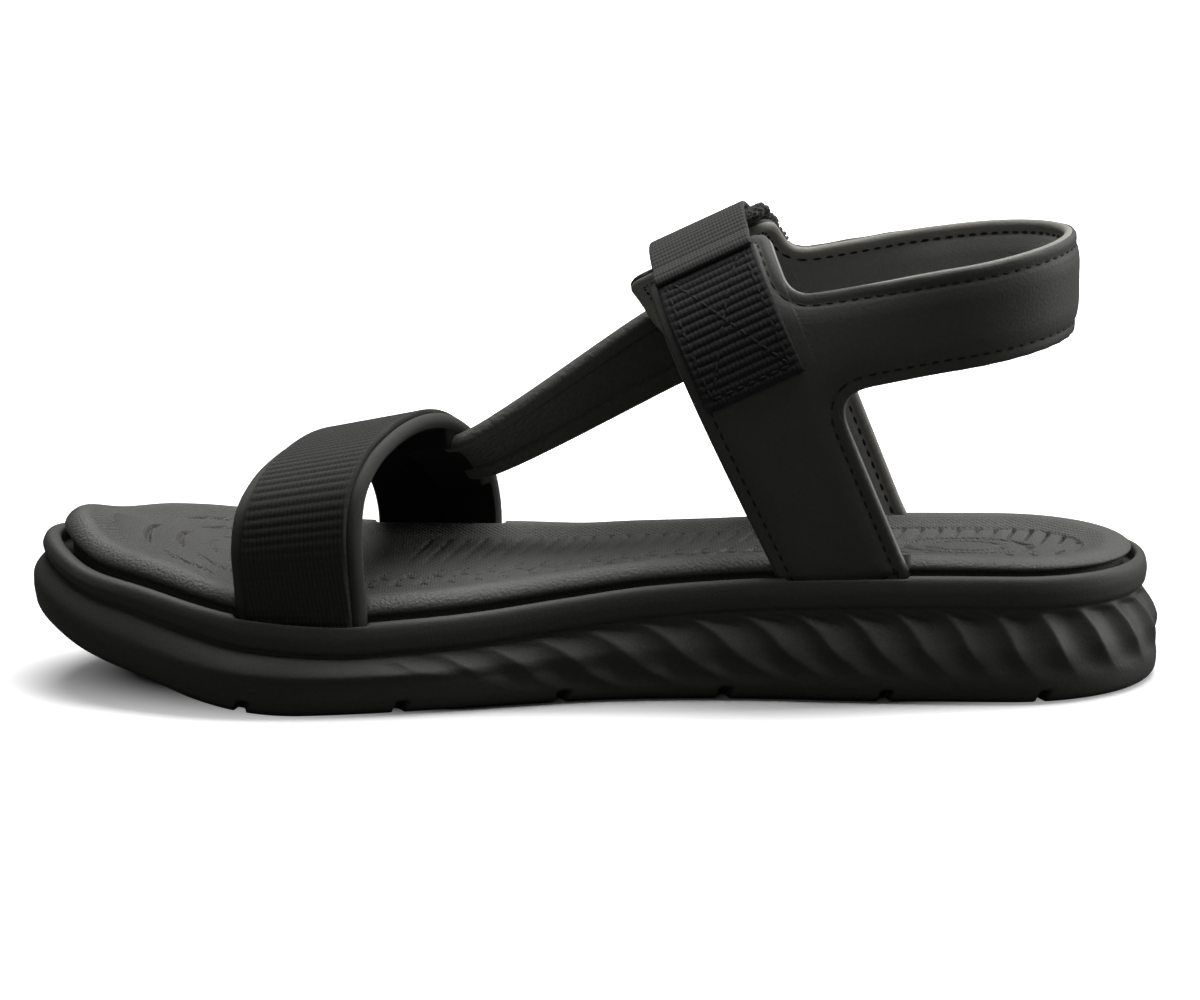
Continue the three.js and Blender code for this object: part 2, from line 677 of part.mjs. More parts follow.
function outsole() {
  const top = (t) => outsoleTop(t);
  const rings = [
    ring(OUTSOLE_EDGE_RADIUS + 1, (t) => groundHeight(t)),
    ring(OUTSOLE_EDGE_RADIUS * 0.3 + 1, (t) => groundHeight(t) + OUTSOLE_EDGE_RADIUS * 0.3),
    ring(1, (t) => groundHeight(t) + OUTSOLE_EDGE_RADIUS),
    ring(1, top),
  ];
  const body = solid(loft(rings, groundHeight, top));
  const grooves = [];
  for (let k = 0; k < GROOVE_COUNT; k += 1) {
    const t = lerp(GROOVE_FIRST, GROOVE_LAST, k / (GROOVE_COUNT - 1));
    const bar = new THREE.BoxGeometry(GROOVE_WIDTH, 2 * SOLE_WIDTH, 2 * GROOVE_DEPTH);
    bar.rotateY(GROOVE_LEAN);
    bar.translate(lengthwise(t), 0, groundHeight(t));
    grooves.push(solid(bar));
  }
  return cutAway(body, grooves);
}

// Height of the recess that the footbed lies in.
const recessFloor = (t, side) => seamHeight(t, side) - FOOTBED_DEPTH;

function midsoleBody() {
  const base = (t) => outsoleTop(t) + CLEARANCE;
  const wall = (share) => (t, side) => lerp(base(t), rimBottom(t, side), share);
  const above = (rise) => (t, side) => rimBottom(t, side) + rise;
  const below = (drop) => (t, side) => seamHeight(t, side) - drop;
  const rings = [
    ring(1, base),
    ring(0, wall(0.4)),
    ring(RIM_GROOVE_INSET / 2, wall(0.85)),
    ring(RIM_GROOVE_INSET, above(0)),
    ring(RIM_INSET, above(LEAST_WALL)),
    ring(RIM_INSET, below(RIM_TOP_ROUND)),
    ring(RIM_INSET + RIM_TOP_ROUND, below(0)),
    ring(FOOTBED_INSET - CLEARANCE, below(0)),
    ring(FOOTBED_INSET - CLEARANCE, recessFloor),
  ];
  return solid(loft(rings, base, recessFloor));
}

function footbedBody() {
  const bottom = (t, side) => recessFloor(t, side) + CLEARANCE;
  const share = (part) => (t, side) => lerp(seamHeight(t, side), ridgeTop(t, side), part);
  const dish = (drop) => (t, side) => ridgeTop(t, side) - drop;
  const rings = [
    ring(FOOTBED_INSET, bottom),
    ring(FOOTBED_INSET, share(0.05)),
    ring(FOOTBED_INSET + RIDGE_WIDTH * 0.2, share(0.5)),
    ring(FOOTBED_INSET + RIDGE_WIDTH * 0.55, share(0.85)),
    ring(FOOTBED_INSET + RIDGE_WIDTH, share(1)),
    ring(FOOTBED_INSET + RIDGE_WIDTH + DISH_WIDTH * 0.4, dish(FOOTBED_DISH * 0.3)),
    ring(FOOTBED_INSET + RIDGE_WIDTH + DISH_WIDTH, dish(FOOTBED_DISH * 0.9)),
  ];
  return solid(loft(rings, bottom, dish(FOOTBED_DISH)));
}

// The shank board follows the recess floor; grow widens it into its own pocket.
function shankBody(grow) {
  const at = (x, y, w) => {
    const t = stationOf(x);
    const side = y / halfWidth(t);
    return new THREE.Vector3(x, centreLine(t) + y, recessFloor(t, side) - CLEARANCE - w);
  };
  const span = [lengthwise(SHANK_START) - grow, lengthwise(SHANK_END) + grow];
  const half = SHANK_WIDTH / 2 + grow;
  const depth = [grow > 0 ? -2 * CLEARANCE : 0, SHANK_THICKNESS + grow];
  return bent(at, spread(...span, SHANK_STEPS), [-half, half], depth, 2);
}

// Slots for the ends of the straps, through the footbed's edge and into the midsole.
function slotCutters() {
  const gap = SLOT_CLEARANCE;
  const half = SLEEVE_THICKNESS / 2;
  const wide = FOREFOOT_WIDTH / 2 + gap;
  const outer = half + CLEARANCE + WEBBING_THICKNESS + gap;
  const legHalf = LEG_WIDTH / 2 + gap;
  const legLayers = [-ankle.stack / 2 - gap, ankle.stack / 2 + gap];
  const legSpan = [ankle.base - SLOT_REACH, ankle.base + SLOT_DEPTH + gap];
  const medialSpan = [-gap, SLOT_DEPTH + SLOT_REACH];
  const lateralSpan = [forefoot.length - SLOT_DEPTH - SLOT_REACH, forefoot.length + gap];
  return [
    bent(forefoot.at, spanOf(...medialSpan), [-wide, wide], [-half - gap, outer]),
    bent(forefoot.at, spanOf(...lateralSpan), [-wide, wide], [-half - gap, outer]),
    bent(ankle.at, spanOf(...legSpan), [-legHalf, legHalf], legLayers),
    bent(ankle.at, spanOf(-legSpan[1], -legSpan[0]), [-legHalf, legHalf], legLayers),
  ];
}

// ---- The forefoot strap ----

const forefootAcross = [-FOREFOOT_WIDTH / 2, FOREFOOT_WIDTH / 2];

function forefootSleeve() {
  const stations = spanOf(0, forefoot.length);
  return sleeve(forefoot.at, stations, forefootAcross, SLEEVE_THICKNESS, SLEEVE_WALL, SLEEVE_MOUTH);
}

function forefootPadding() {
  const inner = SLEEVE_WALL + CLEARANCE;
  const stations = spanOf(SLOT_DEPTH, forefoot.length - SLOT_DEPTH);
  const across = [forefootAcross[0] + inner, forefootAcross[1] - inner];
  const half = SLEEVE_THICKNESS / 2 - inner;
  return bent(forefoot.at, stations, across, [-half, half]);
}

function forefootWebbing() {
  const sunk = SLOT_DEPTH - WEBBING_SINK;
  const middle = FOREFOOT_WEBBING_SHIFT;
  const across = [middle - FOREFOOT_WEBBING_WIDTH / 2, middle + FOREFOOT_WEBBING_WIDTH / 2];
  const low = SLEEVE_THICKNESS / 2 + CLEARANCE;
  const stations = spanOf(sunk, forefoot.length - sunk);
  return bent(forefoot.at, stations, across, [low, low + WEBBING_THICKNESS]);
}

// ---- The instep strap ----

const instepStations = spread(0, 1, INSTEP_STEPS);

function instepSleeve() {
  const across = [0, instep.width];
  const thickness = INSTEP_SLEEVE_THICKNESS;
  const mouth = 1 / INSTEP_STEPS;
  return sleeve(instep.at, instepStations, across, thickness, INSTEP_SLEEVE_WALL, mouth, INSTEP_COLUMNS);
}

// A layer of the instep strap between two of its stations.
function instepLayer(first, margin, layer) {
  const across = [margin, instep.width - margin];
  return bent(instep.at, instepStations.slice(first, -1), across, layer, INSTEP_COLUMNS);
}

function instepPadding() {
  const inner = INSTEP_SLEEVE_WALL + CLEARANCE;
  const half = INSTEP_SLEEVE_THICKNESS / 2 - inner;
  return instepLayer(1, inner, [-half, half]);
}

function instepWebbing() {
  const low = INSTEP_SLEEVE_THICKNESS / 2 + CLEARANCE;
  const first = Math.round(INSTEP_WEBBING_START * INSTEP_STEPS);
  return instepLayer(first, INSTEP_BINDING, [low, low + WEBBING_THICKNESS]);
}

// ---- The closure ----

const closureEdges = (width) => [CLOSURE_SHIFT - width / 2, CLOSURE_SHIFT + width / 2];
const anchorFloor = ankle.stack / 2 + CLEARANCE;
const loopTop = anchorFloor + LOOP_THICKNESS;
const hookFloor = loopTop + CLEARANCE;
const flapFloor = hookFloor + HOOK_THICKNESS + CLEARANCE;

// The flap rises from the anchor's level to its own over the tapes.
function onFlap(reach, r, w) {
  const lift = smoothstep(reach, -HINGE_REACH, LIFT_END);
  return ankle.at(reach, r, w + lerp(anchorFloor, flapFloor, lift));
}

function closureAnchor() {
  const layer = [anchorFloor, anchorFloor + WEBBING_THICKNESS];
  const stations = spanOf(-ANCHOR_END, -HINGE_REACH - CLEARANCE);
  return bent(ankle.at, stations, closureEdges(CLOSURE_WIDTH), layer);
}

function closureFlap() {
  const stations = spanOf(-HINGE_REACH, FLAP_END);
  return bent(onFlap, stations, closureEdges(CLOSURE_WIDTH), [0, WEBBING_THICKNESS]);
}

function tape(start, end, low, thickness) {
  return bent(ankle.at, spanOf(start, end), closureEdges(TAPE_WIDTH), [low, low + thickness]);
}

// A triangle drawn in by a distance from each of its sides.
function drawnIn(corners, distance) {
  const sides = corners.map((_, k) => corners[(k + 1) % 3].distanceTo(corners[(k + 2) % 3]));
  const perimeter = sides[0] + sides[1] + sides[2];
  const centre = new THREE.Vector2();
  corners.forEach((corner, k) => centre.addScaledVector(corner, sides[k] / perimeter));
  const inradius = (2 * Math.abs(THREE.ShapeUtils.area(corners))) / perimeter;
  return corners.map((corner) => centre.clone().lerp(corner, 1 - distance / inradius));
}

// The sewn box and cross on the anchor, as one thin plate with four windows.
function closureStitch() {
  const [r0, r1] = closureEdges(CLOSURE_WIDTH - 2 * STITCH_MARGIN);
  const c0 = -ANCHOR_END + STITCH_MARGIN;
  const c1 = c0 + STITCH_LENGTH;
  const half = STITCH_SIZE / 2;
  const low = anchorFloor + WEBBING_THICKNESS + CLEARANCE;
  const plate = bent(ankle.at, spanOf(c0 - half, c1 + half), [r0 - half, r1 + half], [low, low + half]);
  const corners = [[c0, r0], [c1, r0], [c1, r1], [c0, r1]].map(([c, r]) => new THREE.Vector2(c, r));
  const centre = corners[0].clone().lerp(corners[2], 0.5);
  const windows = corners.map((corner, k) => {
    const [first, second, apex] = drawnIn([corner, corners[(k + 1) % 4], centre], half);
    const at = (share, across, w) => {
      const p = first.clone().lerp(second, across).lerp(apex, share);
      return ankle.at(p.x, p.y, w);
    };
    const through = [low - CLEARANCE, low + half + CLEARANCE];
    return bent(at, spread(0, WINDOW_END, WINDOW_STEPS), [0, 1], through, WINDOW_STEPS);
  });
  return cutAway(plate, windows);
}

// ---- Materials and assembly ----

const foam = { color: "#1b1d19", roughness: 0.75, metalness: 0 };
const rubber = { color: "#191a18", roughness: 0.7, metalness: 0 };
const webbing = { color: "#1a1b1a", roughness: 0.9, metalness: 0 };
const synthetic = { color: "#1b1c1a", roughness: 0.6, metalness: 0 };
const lining = { color: "#43443f", roughness: 0.9, metalness: 0 };
const core = { color: "#a09d92", roughness: 0.9, metalness: 0 };
const board = { color: "#6b5a45", roughness: 0.8, metalness: 0 };

const sandal = new THREE.Group();

function place(name, made, look) {
  const mesh = new THREE.Mesh(geometryOf(made), new THREE.MeshStandardMaterial(look));
  mesh.name = name;
  sandal.add(mesh);
}

const slots = slotCutters();

place("outsole", outsole(), rubber);
place("midsole", cutAway(midsoleBody(), [...slots, shankBody(CLEARANCE)]), foam);
place("shank", shankBody(0), board);
place("footbed", cutAway(footbedBody(), slots), foam);
place("forefoot_sleeve", forefootSleeve(), synthetic);
place("forefoot_padding", forefootPadding(), core);
place("forefoot_webbing", forefootWebbing(), webbing);
place("instep_sleeve", instepSleeve(), synthetic);
place("instep_padding", instepPadding(), core);
place("instep_webbing", instepWebbing(), webbing);
place("quarter_lining", ankleLayer(LINING_LAYER, 0, SLOT_DEPTH), lining);
place("quarter_padding", ankleLayer(PADDING_LAYER, PADDING_MARGIN, 0), core);
place("quarter_outer", ankleLayer(OUTER_LAYER, 0, SLOT_DEPTH), synthetic);
place("closure_anchor", closureAnchor(), webbing);
place("closure_stitch", closureStitch(), webbing);
place("loop_tape", tape(LOOP_START, LOOP_END, anchorFloor, LOOP_THICKNESS), webbing);
place("hook_tape", tape(HOOK_START, HOOK_END, hookFloor, HOOK_THICKNESS), webbing);
place("closure_flap", closureFlap(), webbing);

export default sandal;
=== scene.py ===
# %% [markdown]
# # A strappy sport sandal
# The sandal has a moulded foam sole, webbing straps, a padded heel band and a hook-and-loop
# closure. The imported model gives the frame: its bodies, its one hinge and its box. Every visible
# piece is then made again as a fine surface in that frame, in millimetres, and put in as metres.

# %% Load the frame
import bpy
import numpy as np
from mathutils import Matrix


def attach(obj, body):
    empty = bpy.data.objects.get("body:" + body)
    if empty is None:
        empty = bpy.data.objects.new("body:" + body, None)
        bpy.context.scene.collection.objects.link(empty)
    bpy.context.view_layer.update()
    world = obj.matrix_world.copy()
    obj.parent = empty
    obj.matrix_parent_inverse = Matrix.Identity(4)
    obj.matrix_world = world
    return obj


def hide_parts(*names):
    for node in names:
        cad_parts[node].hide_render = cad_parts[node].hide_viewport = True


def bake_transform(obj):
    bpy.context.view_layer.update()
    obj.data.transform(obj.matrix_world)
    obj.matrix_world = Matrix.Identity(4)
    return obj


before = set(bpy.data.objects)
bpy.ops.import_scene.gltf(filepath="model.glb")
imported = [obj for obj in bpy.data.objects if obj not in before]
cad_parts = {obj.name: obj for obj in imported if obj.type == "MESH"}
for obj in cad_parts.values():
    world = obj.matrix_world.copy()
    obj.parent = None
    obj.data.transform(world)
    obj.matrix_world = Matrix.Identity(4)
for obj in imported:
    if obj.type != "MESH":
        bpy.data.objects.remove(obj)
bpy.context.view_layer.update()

# %% [markdown]
# ## The camera
# A short distance would make the near edge of the sole loom. A long lens far away keeps the
# sole's lines nearly parallel. It looks along +Y at the inner side of a right shoe, from a little
# above, so that the footbed shows between the straps.

# %% Camera
AIM = np.array([0.0, 0.0, 0.0409])
DISTANCE = 1.2
FOCAL_LENGTH, SENSOR_WIDTH = 153.24, 36.0
ELEVATION = np.radians(12.9)
camera_data = bpy.data.cameras.new("camera")
camera_data.lens = FOCAL_LENGTH
camera_data.sensor_width = SENSOR_WIDTH
camera = bpy.data.objects.new("camera", camera_data)
camera.location = AIM + DISTANCE * np.array([0.0, -np.cos(ELEVATION), np.sin(ELEVATION)])
camera.rotation_euler = (np.pi / 2 - ELEVATION, 0.0, 0.0)
bpy.context.scene.collection.objects.link(camera)
bpy.context.scene.camera = camera
print("camera at", tuple(round(c, 3) for c in camera.location))

# %% [markdown]
# ## Tools for surfaces
# Modelling by hand would not keep the sizes of the plain model. Here a piece is a grid of points
# worked out as whole arrays. Faces join neighbours in the grid, and the mesh is turned outward if
# its signed volume comes out negative.

# %% Mesh helpers
MM = 0.001


def grid_faces(rows, columns, close_rows=False, close_columns=False, first=0):
    """Quads between neighbours of a grid whose point (i, j) has the number i * columns + j."""
    i, j = np.meshgrid(
        np.arange(rows if close_rows else rows - 1),
        np.arange(columns if close_columns else columns - 1),
        indexing="ij",
    )
    i1, j1 = (i + 1) % rows, (j + 1) % columns
    quads = np.stack([i * columns + j, i1 * columns + j, i1 * columns + j1, i * columns + j1], -1)
    return first + quads.reshape(-1, 4)


def signed_volume(points, faces):
    """A sixth of the sum over triangles of a . (b x c)."""
    total = 0.0
    for k in range(2, faces.shape[1]):
        a, b, c = points[faces[:, 0]], points[faces[:, k - 1]], points[faces[:, k]]
        total += np.einsum("ij,ij->", a, np.cross(b, c)) / 6
    return total


def add_mesh(name, points, faces, uv=None):
    """A smooth-shaded object from points in mm and one or more arrays of faces."""
    points = np.asarray(points, float).reshape(-1, 3)
    groups = faces if isinstance(faces, list) else [faces]
    centre = points.mean(0)
    if sum(signed_volume(points - centre, group) for group in groups) < 0:
        groups = [group[:, ::-1] for group in groups]
    corners = np.concatenate([group.ravel() for group in groups])
    sizes = np.concatenate([np.full(len(group), group.shape[1]) for group in groups])
    mesh = bpy.data.meshes.new(name)
    mesh.vertices.add(len(points))
    mesh.vertices.foreach_set("co", (points * MM).astype(np.float32).ravel())
    mesh.loops.add(len(corners))
    mesh.loops.foreach_set("vertex_index", corners.astype(np.int32))
    mesh.polygons.add(len(sizes))
    mesh.polygons.foreach_set("loop_start", (np.cumsum(sizes) - sizes).astype(np.int32))
    mesh.polygons.foreach_set("use_smooth", np.ones(len(sizes), bool))
    if uv is not None:
        layer = mesh.uv_layers.new(name="UVMap")
        layer.uv.foreach_set("vector", np.asarray(uv, np.float32).reshape(-1, 2)[corners].ravel())
    mesh.update(calc_edges=True)
    if mesh.validate():
        print(f"{name}: faces mended by Blender, {len(sizes) - len(mesh.polygons)} left out")
    obj = bpy.data.objects.new(name, mesh)
    bpy.context.scene.collection.objects.link(obj)
    print(f"{name}: {len(points)} points, {int((sizes - 2).sum())} triangles")
    return obj


# %% Ramps
def smooth(x, low, high):
    """0 below low, 1 above high and an eased ramp between."""
    s = np.clip((x - low) / (high - low), 0, 1)
    return s * s * (3 - 2 * s)


def mix(a, b, share):
    """a + (b - a) * share."""
    return a + (b - a) * share


print("a ramp from 0 to 10 at 2, 5 and 8:", smooth(np.array([2.0, 5.0, 8.0]), 0, 10).round(3))


# %% [markdown]
# ## Curves
# Tables of a few measured values become smooth curves in two ways: a Hermite curve for values
# along the sole, and a centripetal Catmull-Rom curve for the arches of the straps.

# %% Curve helpers
def along(table, t):
    """The smooth curve through [position, value] pairs, read at every t."""
    x, y = np.asarray(table, float).T
    t = np.clip(t, x[0], x[-1])
    i = np.clip(np.searchsorted(x, t) - 1, 0, len(x) - 2)
    k = np.arange(len(x))
    before, after = np.maximum(k - 1, 0), np.minimum(k + 1, len(x) - 1)
    slope = (y[after] - y[before]) / (x[after] - x[before])
    span = x[i + 1] - x[i]
    s = (t - x[i]) / span
    ease = s * s * (3 - 2 * s)
    pull = slope[i] * span * s * (1 - s) ** 2 + slope[i + 1] * span * s * s * (s - 1)
    return y[i] + (y[i + 1] - y[i]) * ease + pull


def catmull(points, share):
    """A centripetal Catmull-Rom curve; share runs from 0 to 1 with equal steps per span."""
    points = np.asarray(points, float)
    padded = np.vstack([2 * points[0] - points[1], points, 2 * points[-1] - points[-2]])
    place = np.clip(share, 0, 1) * (len(points) - 1)
    i = np.minimum(place.astype(int), len(points) - 2)
    s = (place - i)[..., None]
    p0, p1, p2, p3 = (padded[i + k] for k in range(4))
    gap = lambda a, b: np.sqrt(np.linalg.norm(b - a, axis=-1, keepdims=True))
    d0, d1, d2 = gap(p0, p1), gap(p1, p2), gap(p2, p3)
    m1 = ((p1 - p0) / d0 - (p2 - p0) / (d0 + d1) + (p2 - p1) / d1) * d1
    m2 = ((p2 - p1) / d1 - (p3 - p1) / (d1 + d2) + (p3 - p2) / d2) * d1
    h = 2 * p1 - 2 * p2 + m1 + m2
    q = -3 * p1 + 3 * p2 - 2 * m1 - m2
    return ((h * s + q) * s + m1) * s + p1


# %% Paths
class Path:
    """A plane Catmull-Rom curve read by length: it gives points and unit tangents."""

    def __init__(self, points):
        dense = catmull(points, np.linspace(0, 1, 4001))
        step = np.linalg.norm(np.diff(dense, axis=0), axis=1)
        self.at = np.concatenate([[0], np.cumsum(step)])
        self.length = self.at[-1]
        self.points = dense
        self.tangents = np.gradient(dense, axis=0)
        self.tangents /= np.linalg.norm(self.tangents, axis=1, keepdims=True)

    def __call__(self, s):
        """Point and tangent at length s; past the ends the curve runs on straight."""
        inside = np.clip(s, 0, self.length)
        read = lambda values, k: np.interp(inside, self.at, values[:, k])
        tx, tz = read(self.tangents, 0), read(self.tangents, 1)
        past = s - inside
        return read(self.points, 0) + tx * past, read(self.points, 1) + tz * past, tx, tz


print("three points in a right angle:", round(Path([[0, 1], [0, 0], [1, 0]]).length, 2), "long")

# %% [markdown]
# ## Sizes
# The sizes are those of the CAD model, so that each fine surface lies where its plain solid is.
# Lengths are in millimetres, and angles in radians. Tables pair a place along the sole, from 0 at
# the toe to 1 at the heel, with a value there. The arches pair a share across with a share up.

# %% Sizes of the sole and the straps
SOLE_LENGTH, SOLE_WIDTH = 265.0, 94.0
HEEL_RADIUS, TOE_RADIUS = 38.0, 50.0
TOE_SPRING, TOE_SPRING_END, TOE_SPRING_POWER = 21.0, 0.243, 2.0
CLEARANCE = 0.3
OUTSOLE_THICKNESS, OUTSOLE_TOE_THICKNESS = 7.5, 4.5
RIM_HEIGHT, RIM_INSET, GROOVE_INSET = 7.8, 4.0, 5.0
FOOTBED_INSET, FOOTBED_DISH = 7.0, 1.8
SLOT_DEPTH, SLOT_INSET = 7.0, 6.4
WEBBING_THICKNESS, SLEEVE_THICKNESS = 1.4, 3.2
FOREFOOT_MEDIAL, FOREFOOT_LATERAL = 0.2434, 0.354
FOREFOOT_WIDTH, FOREFOOT_WEBBING_WIDTH, FOREFOOT_SHIFT = 27.5, 22.0, 0.4
FOREFOOT_HEIGHT, FOREFOOT_CONE = 35.3, np.tan(np.radians(11.5))
LEG_STATION, LEG_LEAN, LEG_WIDTH, LEG_FLARE = 0.7189, np.radians(25.5), 28.4, 0.055
ANKLE_YAW = np.radians(3.5)
INSTEP_HALF, INSTEP_HEIGHT = 29.5, 79.4
STACK = 4.1
BAND_WIDTH, BAND_HEIGHT, BAND_RADIUS, BAND_REAR, BAND_RISE = 24.0, 44.3, 27.0, 111.4, 9.0
BAND_LATERAL_LIFT = 2.2
CORNER_RADIUS, END_RADIUS, MEDIAL_END, TAB_END = 7.0, 5.0, 9.0, 9.5
TAB_REACH, TAB_FLARE_START, TAB_FLARE_END = 7.0, 42.0, 18.0
STRAP_THICKNESS, INSTEP_LOWER, INSTEP_UPPER = 3.0, 0.84, 0.34
INSTEP_LAP, INSTEP_TAB_LAP, INSTEP_TAB_UPPER, INSTEP_TAB_LOWER = 10.0, 7.0, 29.0, 48.5
CLOSURE_WIDTH, CLOSURE_SHIFT, ANCHOR_END, FLAP_END = 24.5, 0.6, 47.0, 60.0
print("sole", SOLE_LENGTH, "x", SOLE_WIDTH, "mm")

# %% Tables along the sole and across the straps
CENTRE_LINE = [
    [0, -0.149], [0.0925, -0.085], [0.1415, -0.064], [0.217, -0.027], [0.281, 0.011],
    [0.368, 0.069], [0.5, 0.133], [0.613, 0.101], [0.726, 0.043], [0.847, 0.016], [1, 0.011],
]
HALF_WIDTH = [
    [0, 0.81], [0.0925, 0.851], [0.1415, 0.904], [0.217, 0.973], [0.281, 0.979],
    [0.368, 0.931], [0.5, 0.814], [0.613, 0.75], [0.726, 0.745], [0.847, 0.75], [1, 0.75],
]
SEAM_HEIGHT = [
    [0, 35], [0.04, 30.7], [0.089, 28.6], [0.134, 26.1], [0.19, 23.2], [0.274, 21],
    [0.33, 21.2], [0.402, 22.1], [0.477, 24.1], [0.549, 26.4], [0.66, 28.4], [0.787, 29.4],
    [1, 29.1],
]
LATERAL_RISE = [
    [0, 1], [0.15, 2.6], [0.2, 2.9], [0.3, 2], [0.42, 0.5],
    [0.5, -1.6], [0.6, -2.3], [0.75, -1.3], [1, 0],
]
RIDGE_HEIGHT = [[0, 5.2], [0.31, 5], [0.5, 4.6], [0.65, 4.5], [0.86, 3.4], [1, 2.9]]
FOREFOOT_ARCH = [
    [-1.05, 0.32], [-1.07, 0.53], [-1.01, 0.75], [-0.82, 0.9], [-0.5, 0.985], [-0.15, 1],
    [0.2, 0.94], [0.5, 0.81], [0.74, 0.64], [0.9, 0.45], [0.99, 0.22],
]
INSTEP_ARCH = [
    [0.94, 0.12], [0.985, 0.32], [1, 0.5], [0.975, 0.64], [0.87, 0.78], [0.68, 0.89],
    [0.38, 0.97], [0, 1],
]
print("seam table", len(SEAM_HEIGHT), "places, forefoot arch", len(FOREFOOT_ARCH), "points")

# %% [markdown]
# ## Heights and widths
# A station t runs from 0 at the toe to 1 at the heel, and a side from -1 on the inner edge to 1
# on the outer. Every layer of the sole reads its height from these functions, so that the layers
# meet without gaps.


# %% Heights and widths along the sole
def lengthwise(t):
    """x in mm at a station."""
    return (t - 0.5) * SOLE_LENGTH


def station(x):
    """The station at x in mm."""
    return x / SOLE_LENGTH + 0.5


def centre_line(t):
    """y of the line that runs midway between the sole's two edges."""
    return along(CENTRE_LINE, t) * SOLE_WIDTH / 2


def full_half(t):
    """Half of the sole's width, before its ends are closed."""
    return along(HALF_WIDTH, t) * SOLE_WIDTH / 2


def half_width(t):
    """Half of the outline: full_half times sqrt(1 - e^2), where e grows from 0 to 1 at an end."""
    x = lengthwise(t)
    toe = np.clip((-SOLE_LENGTH / 2 + TOE_RADIUS - x) / TOE_RADIUS, 0, 1)
    heel = np.clip((x - SOLE_LENGTH / 2 + HEEL_RADIUS) / HEEL_RADIUS, 0, 1)
    return full_half(t) * np.sqrt(1 - toe**2) * np.sqrt(1 - heel**2)


def ground_height(t):
    """The toe's spring: TOE_SPRING times the share of the way to the tip, squared."""
    rise = np.maximum(0, (TOE_SPRING_END - t) / TOE_SPRING_END)
    return TOE_SPRING * rise**TOE_SPRING_POWER


def outsole_top(t):
    """The ground's height plus the outsole's thickness, which eases thinner to the toe."""
    toe = smooth(TOE_SPRING_END - t, 0, TOE_SPRING_END)
    return ground_height(t) + mix(OUTSOLE_THICKNESS, OUTSOLE_TOE_THICKNESS, toe)


def seam_height(t, side):
    """The midsole's upper edge: a table for the inner side, and a rise towards the outer."""
    return along(SEAM_HEIGHT, t) + along(LATERAL_RISE, t) * (side + 1) / 2


def rim_bottom(t, side):
    """RIM_HEIGHT under the seam, but at least 1.8 mm above the outsole."""
    return np.maximum(seam_height(t, side) - RIM_HEIGHT, outsole_top(t) + 1.8)


def ridge_top(t, side):
    """The crest of the footbed's raised edge."""
    return seam_height(t, side) + along(RIDGE_HEIGHT, t)


print("seam height", [round(float(seam_height(t, 0)), 1) for t in (0.1, 0.5, 0.9)], "mm")


# %% [markdown]
# ## The sole's outline
# The sole is a stack of rings. Half of a ring's points run from toe to heel on the inner side,
# the other half back on the outer side. A ring is the outline moved inward along its own normals,
# which keeps an edge equally wide all round. Caps close the stack at both ends.

# %% Outline
HALF_RING = 640
RING = 2 * HALF_RING
turn = np.linspace(0, 2 * np.pi, RING, endpoint=False)
ring_x = -SOLE_LENGTH / 2 * np.cos(turn)
ring_t = station(ring_x)
ring_sign = np.where(turn < np.pi, -1.0, 1.0)
ring_side = ring_sign * half_width(ring_t) / full_half(ring_t)
ring_y = centre_line(ring_t) + ring_sign * half_width(ring_t)
step_x = np.roll(ring_x, -1) - np.roll(ring_x, 1)
step_y = np.roll(ring_y, -1) - np.roll(ring_y, 1)
step_length = np.hypot(step_x, step_y)
ring_out = np.stack([step_y, -step_x]) / step_length
ring_arc = np.zeros(RING)
ring_arc[1:] = np.cumsum(np.hypot(np.diff(ring_x), np.diff(ring_y)))
ring_arc = np.minimum(ring_arc, ring_arc[-1] - ring_arc)
print("outline", round(ring_arc.max() * 2), "mm round")


def rings(inset, height):
    """Points of many rings at once; inset and height are arrays of (ring, point)."""
    inset, height = np.broadcast_arrays(inset, height)
    x = ring_x - ring_out[0] * inset
    y = ring_y - ring_out[1] * inset
    return np.stack([x, y, height], -1)


# %% Rows of rings
def resample(rows, count):
    """More rows, spaced evenly along the mean profile of the given ones."""
    size = np.linalg.norm(np.diff(rows, axis=0), axis=-1).mean(1)
    place = np.concatenate([[0], np.cumsum(size)])
    want = np.linspace(0, place[-1], count)
    i = np.clip(np.searchsorted(place, want) - 1, 0, len(place) - 2)
    s = ((want - place[i]) / (place[i + 1] - place[i]))[:, None, None]
    return rows[i] * (1 - s) + rows[i + 1] * s


def soften(rows, times):
    """Rounds the corners of a profile with a running mean; the end rows stay."""
    for _ in range(times):
        rows[1:-1] = (rows[:-2] + 2 * rows[1:-1] + rows[2:]) / 4
    return rows


print(RING, "points in a ring")


# %% Caps and closed bodies
def cap_points(row, columns, height):
    """Inner points of a cap: each straight line across joins a ring's two sides."""
    inner = row[1:HALF_RING]
    outer = row[:HALF_RING:-1]
    share = np.linspace(0, 1, columns + 2)[1:-1]
    points = mix(inner[:, None], outer[:, None], share[None, :, None])
    side = mix(ring_side[1:HALF_RING, None], -ring_side[1:HALF_RING, None], share)
    points[..., 2] = height(ring_t[1:HALF_RING, None] + 0 * share, side, points)
    return points


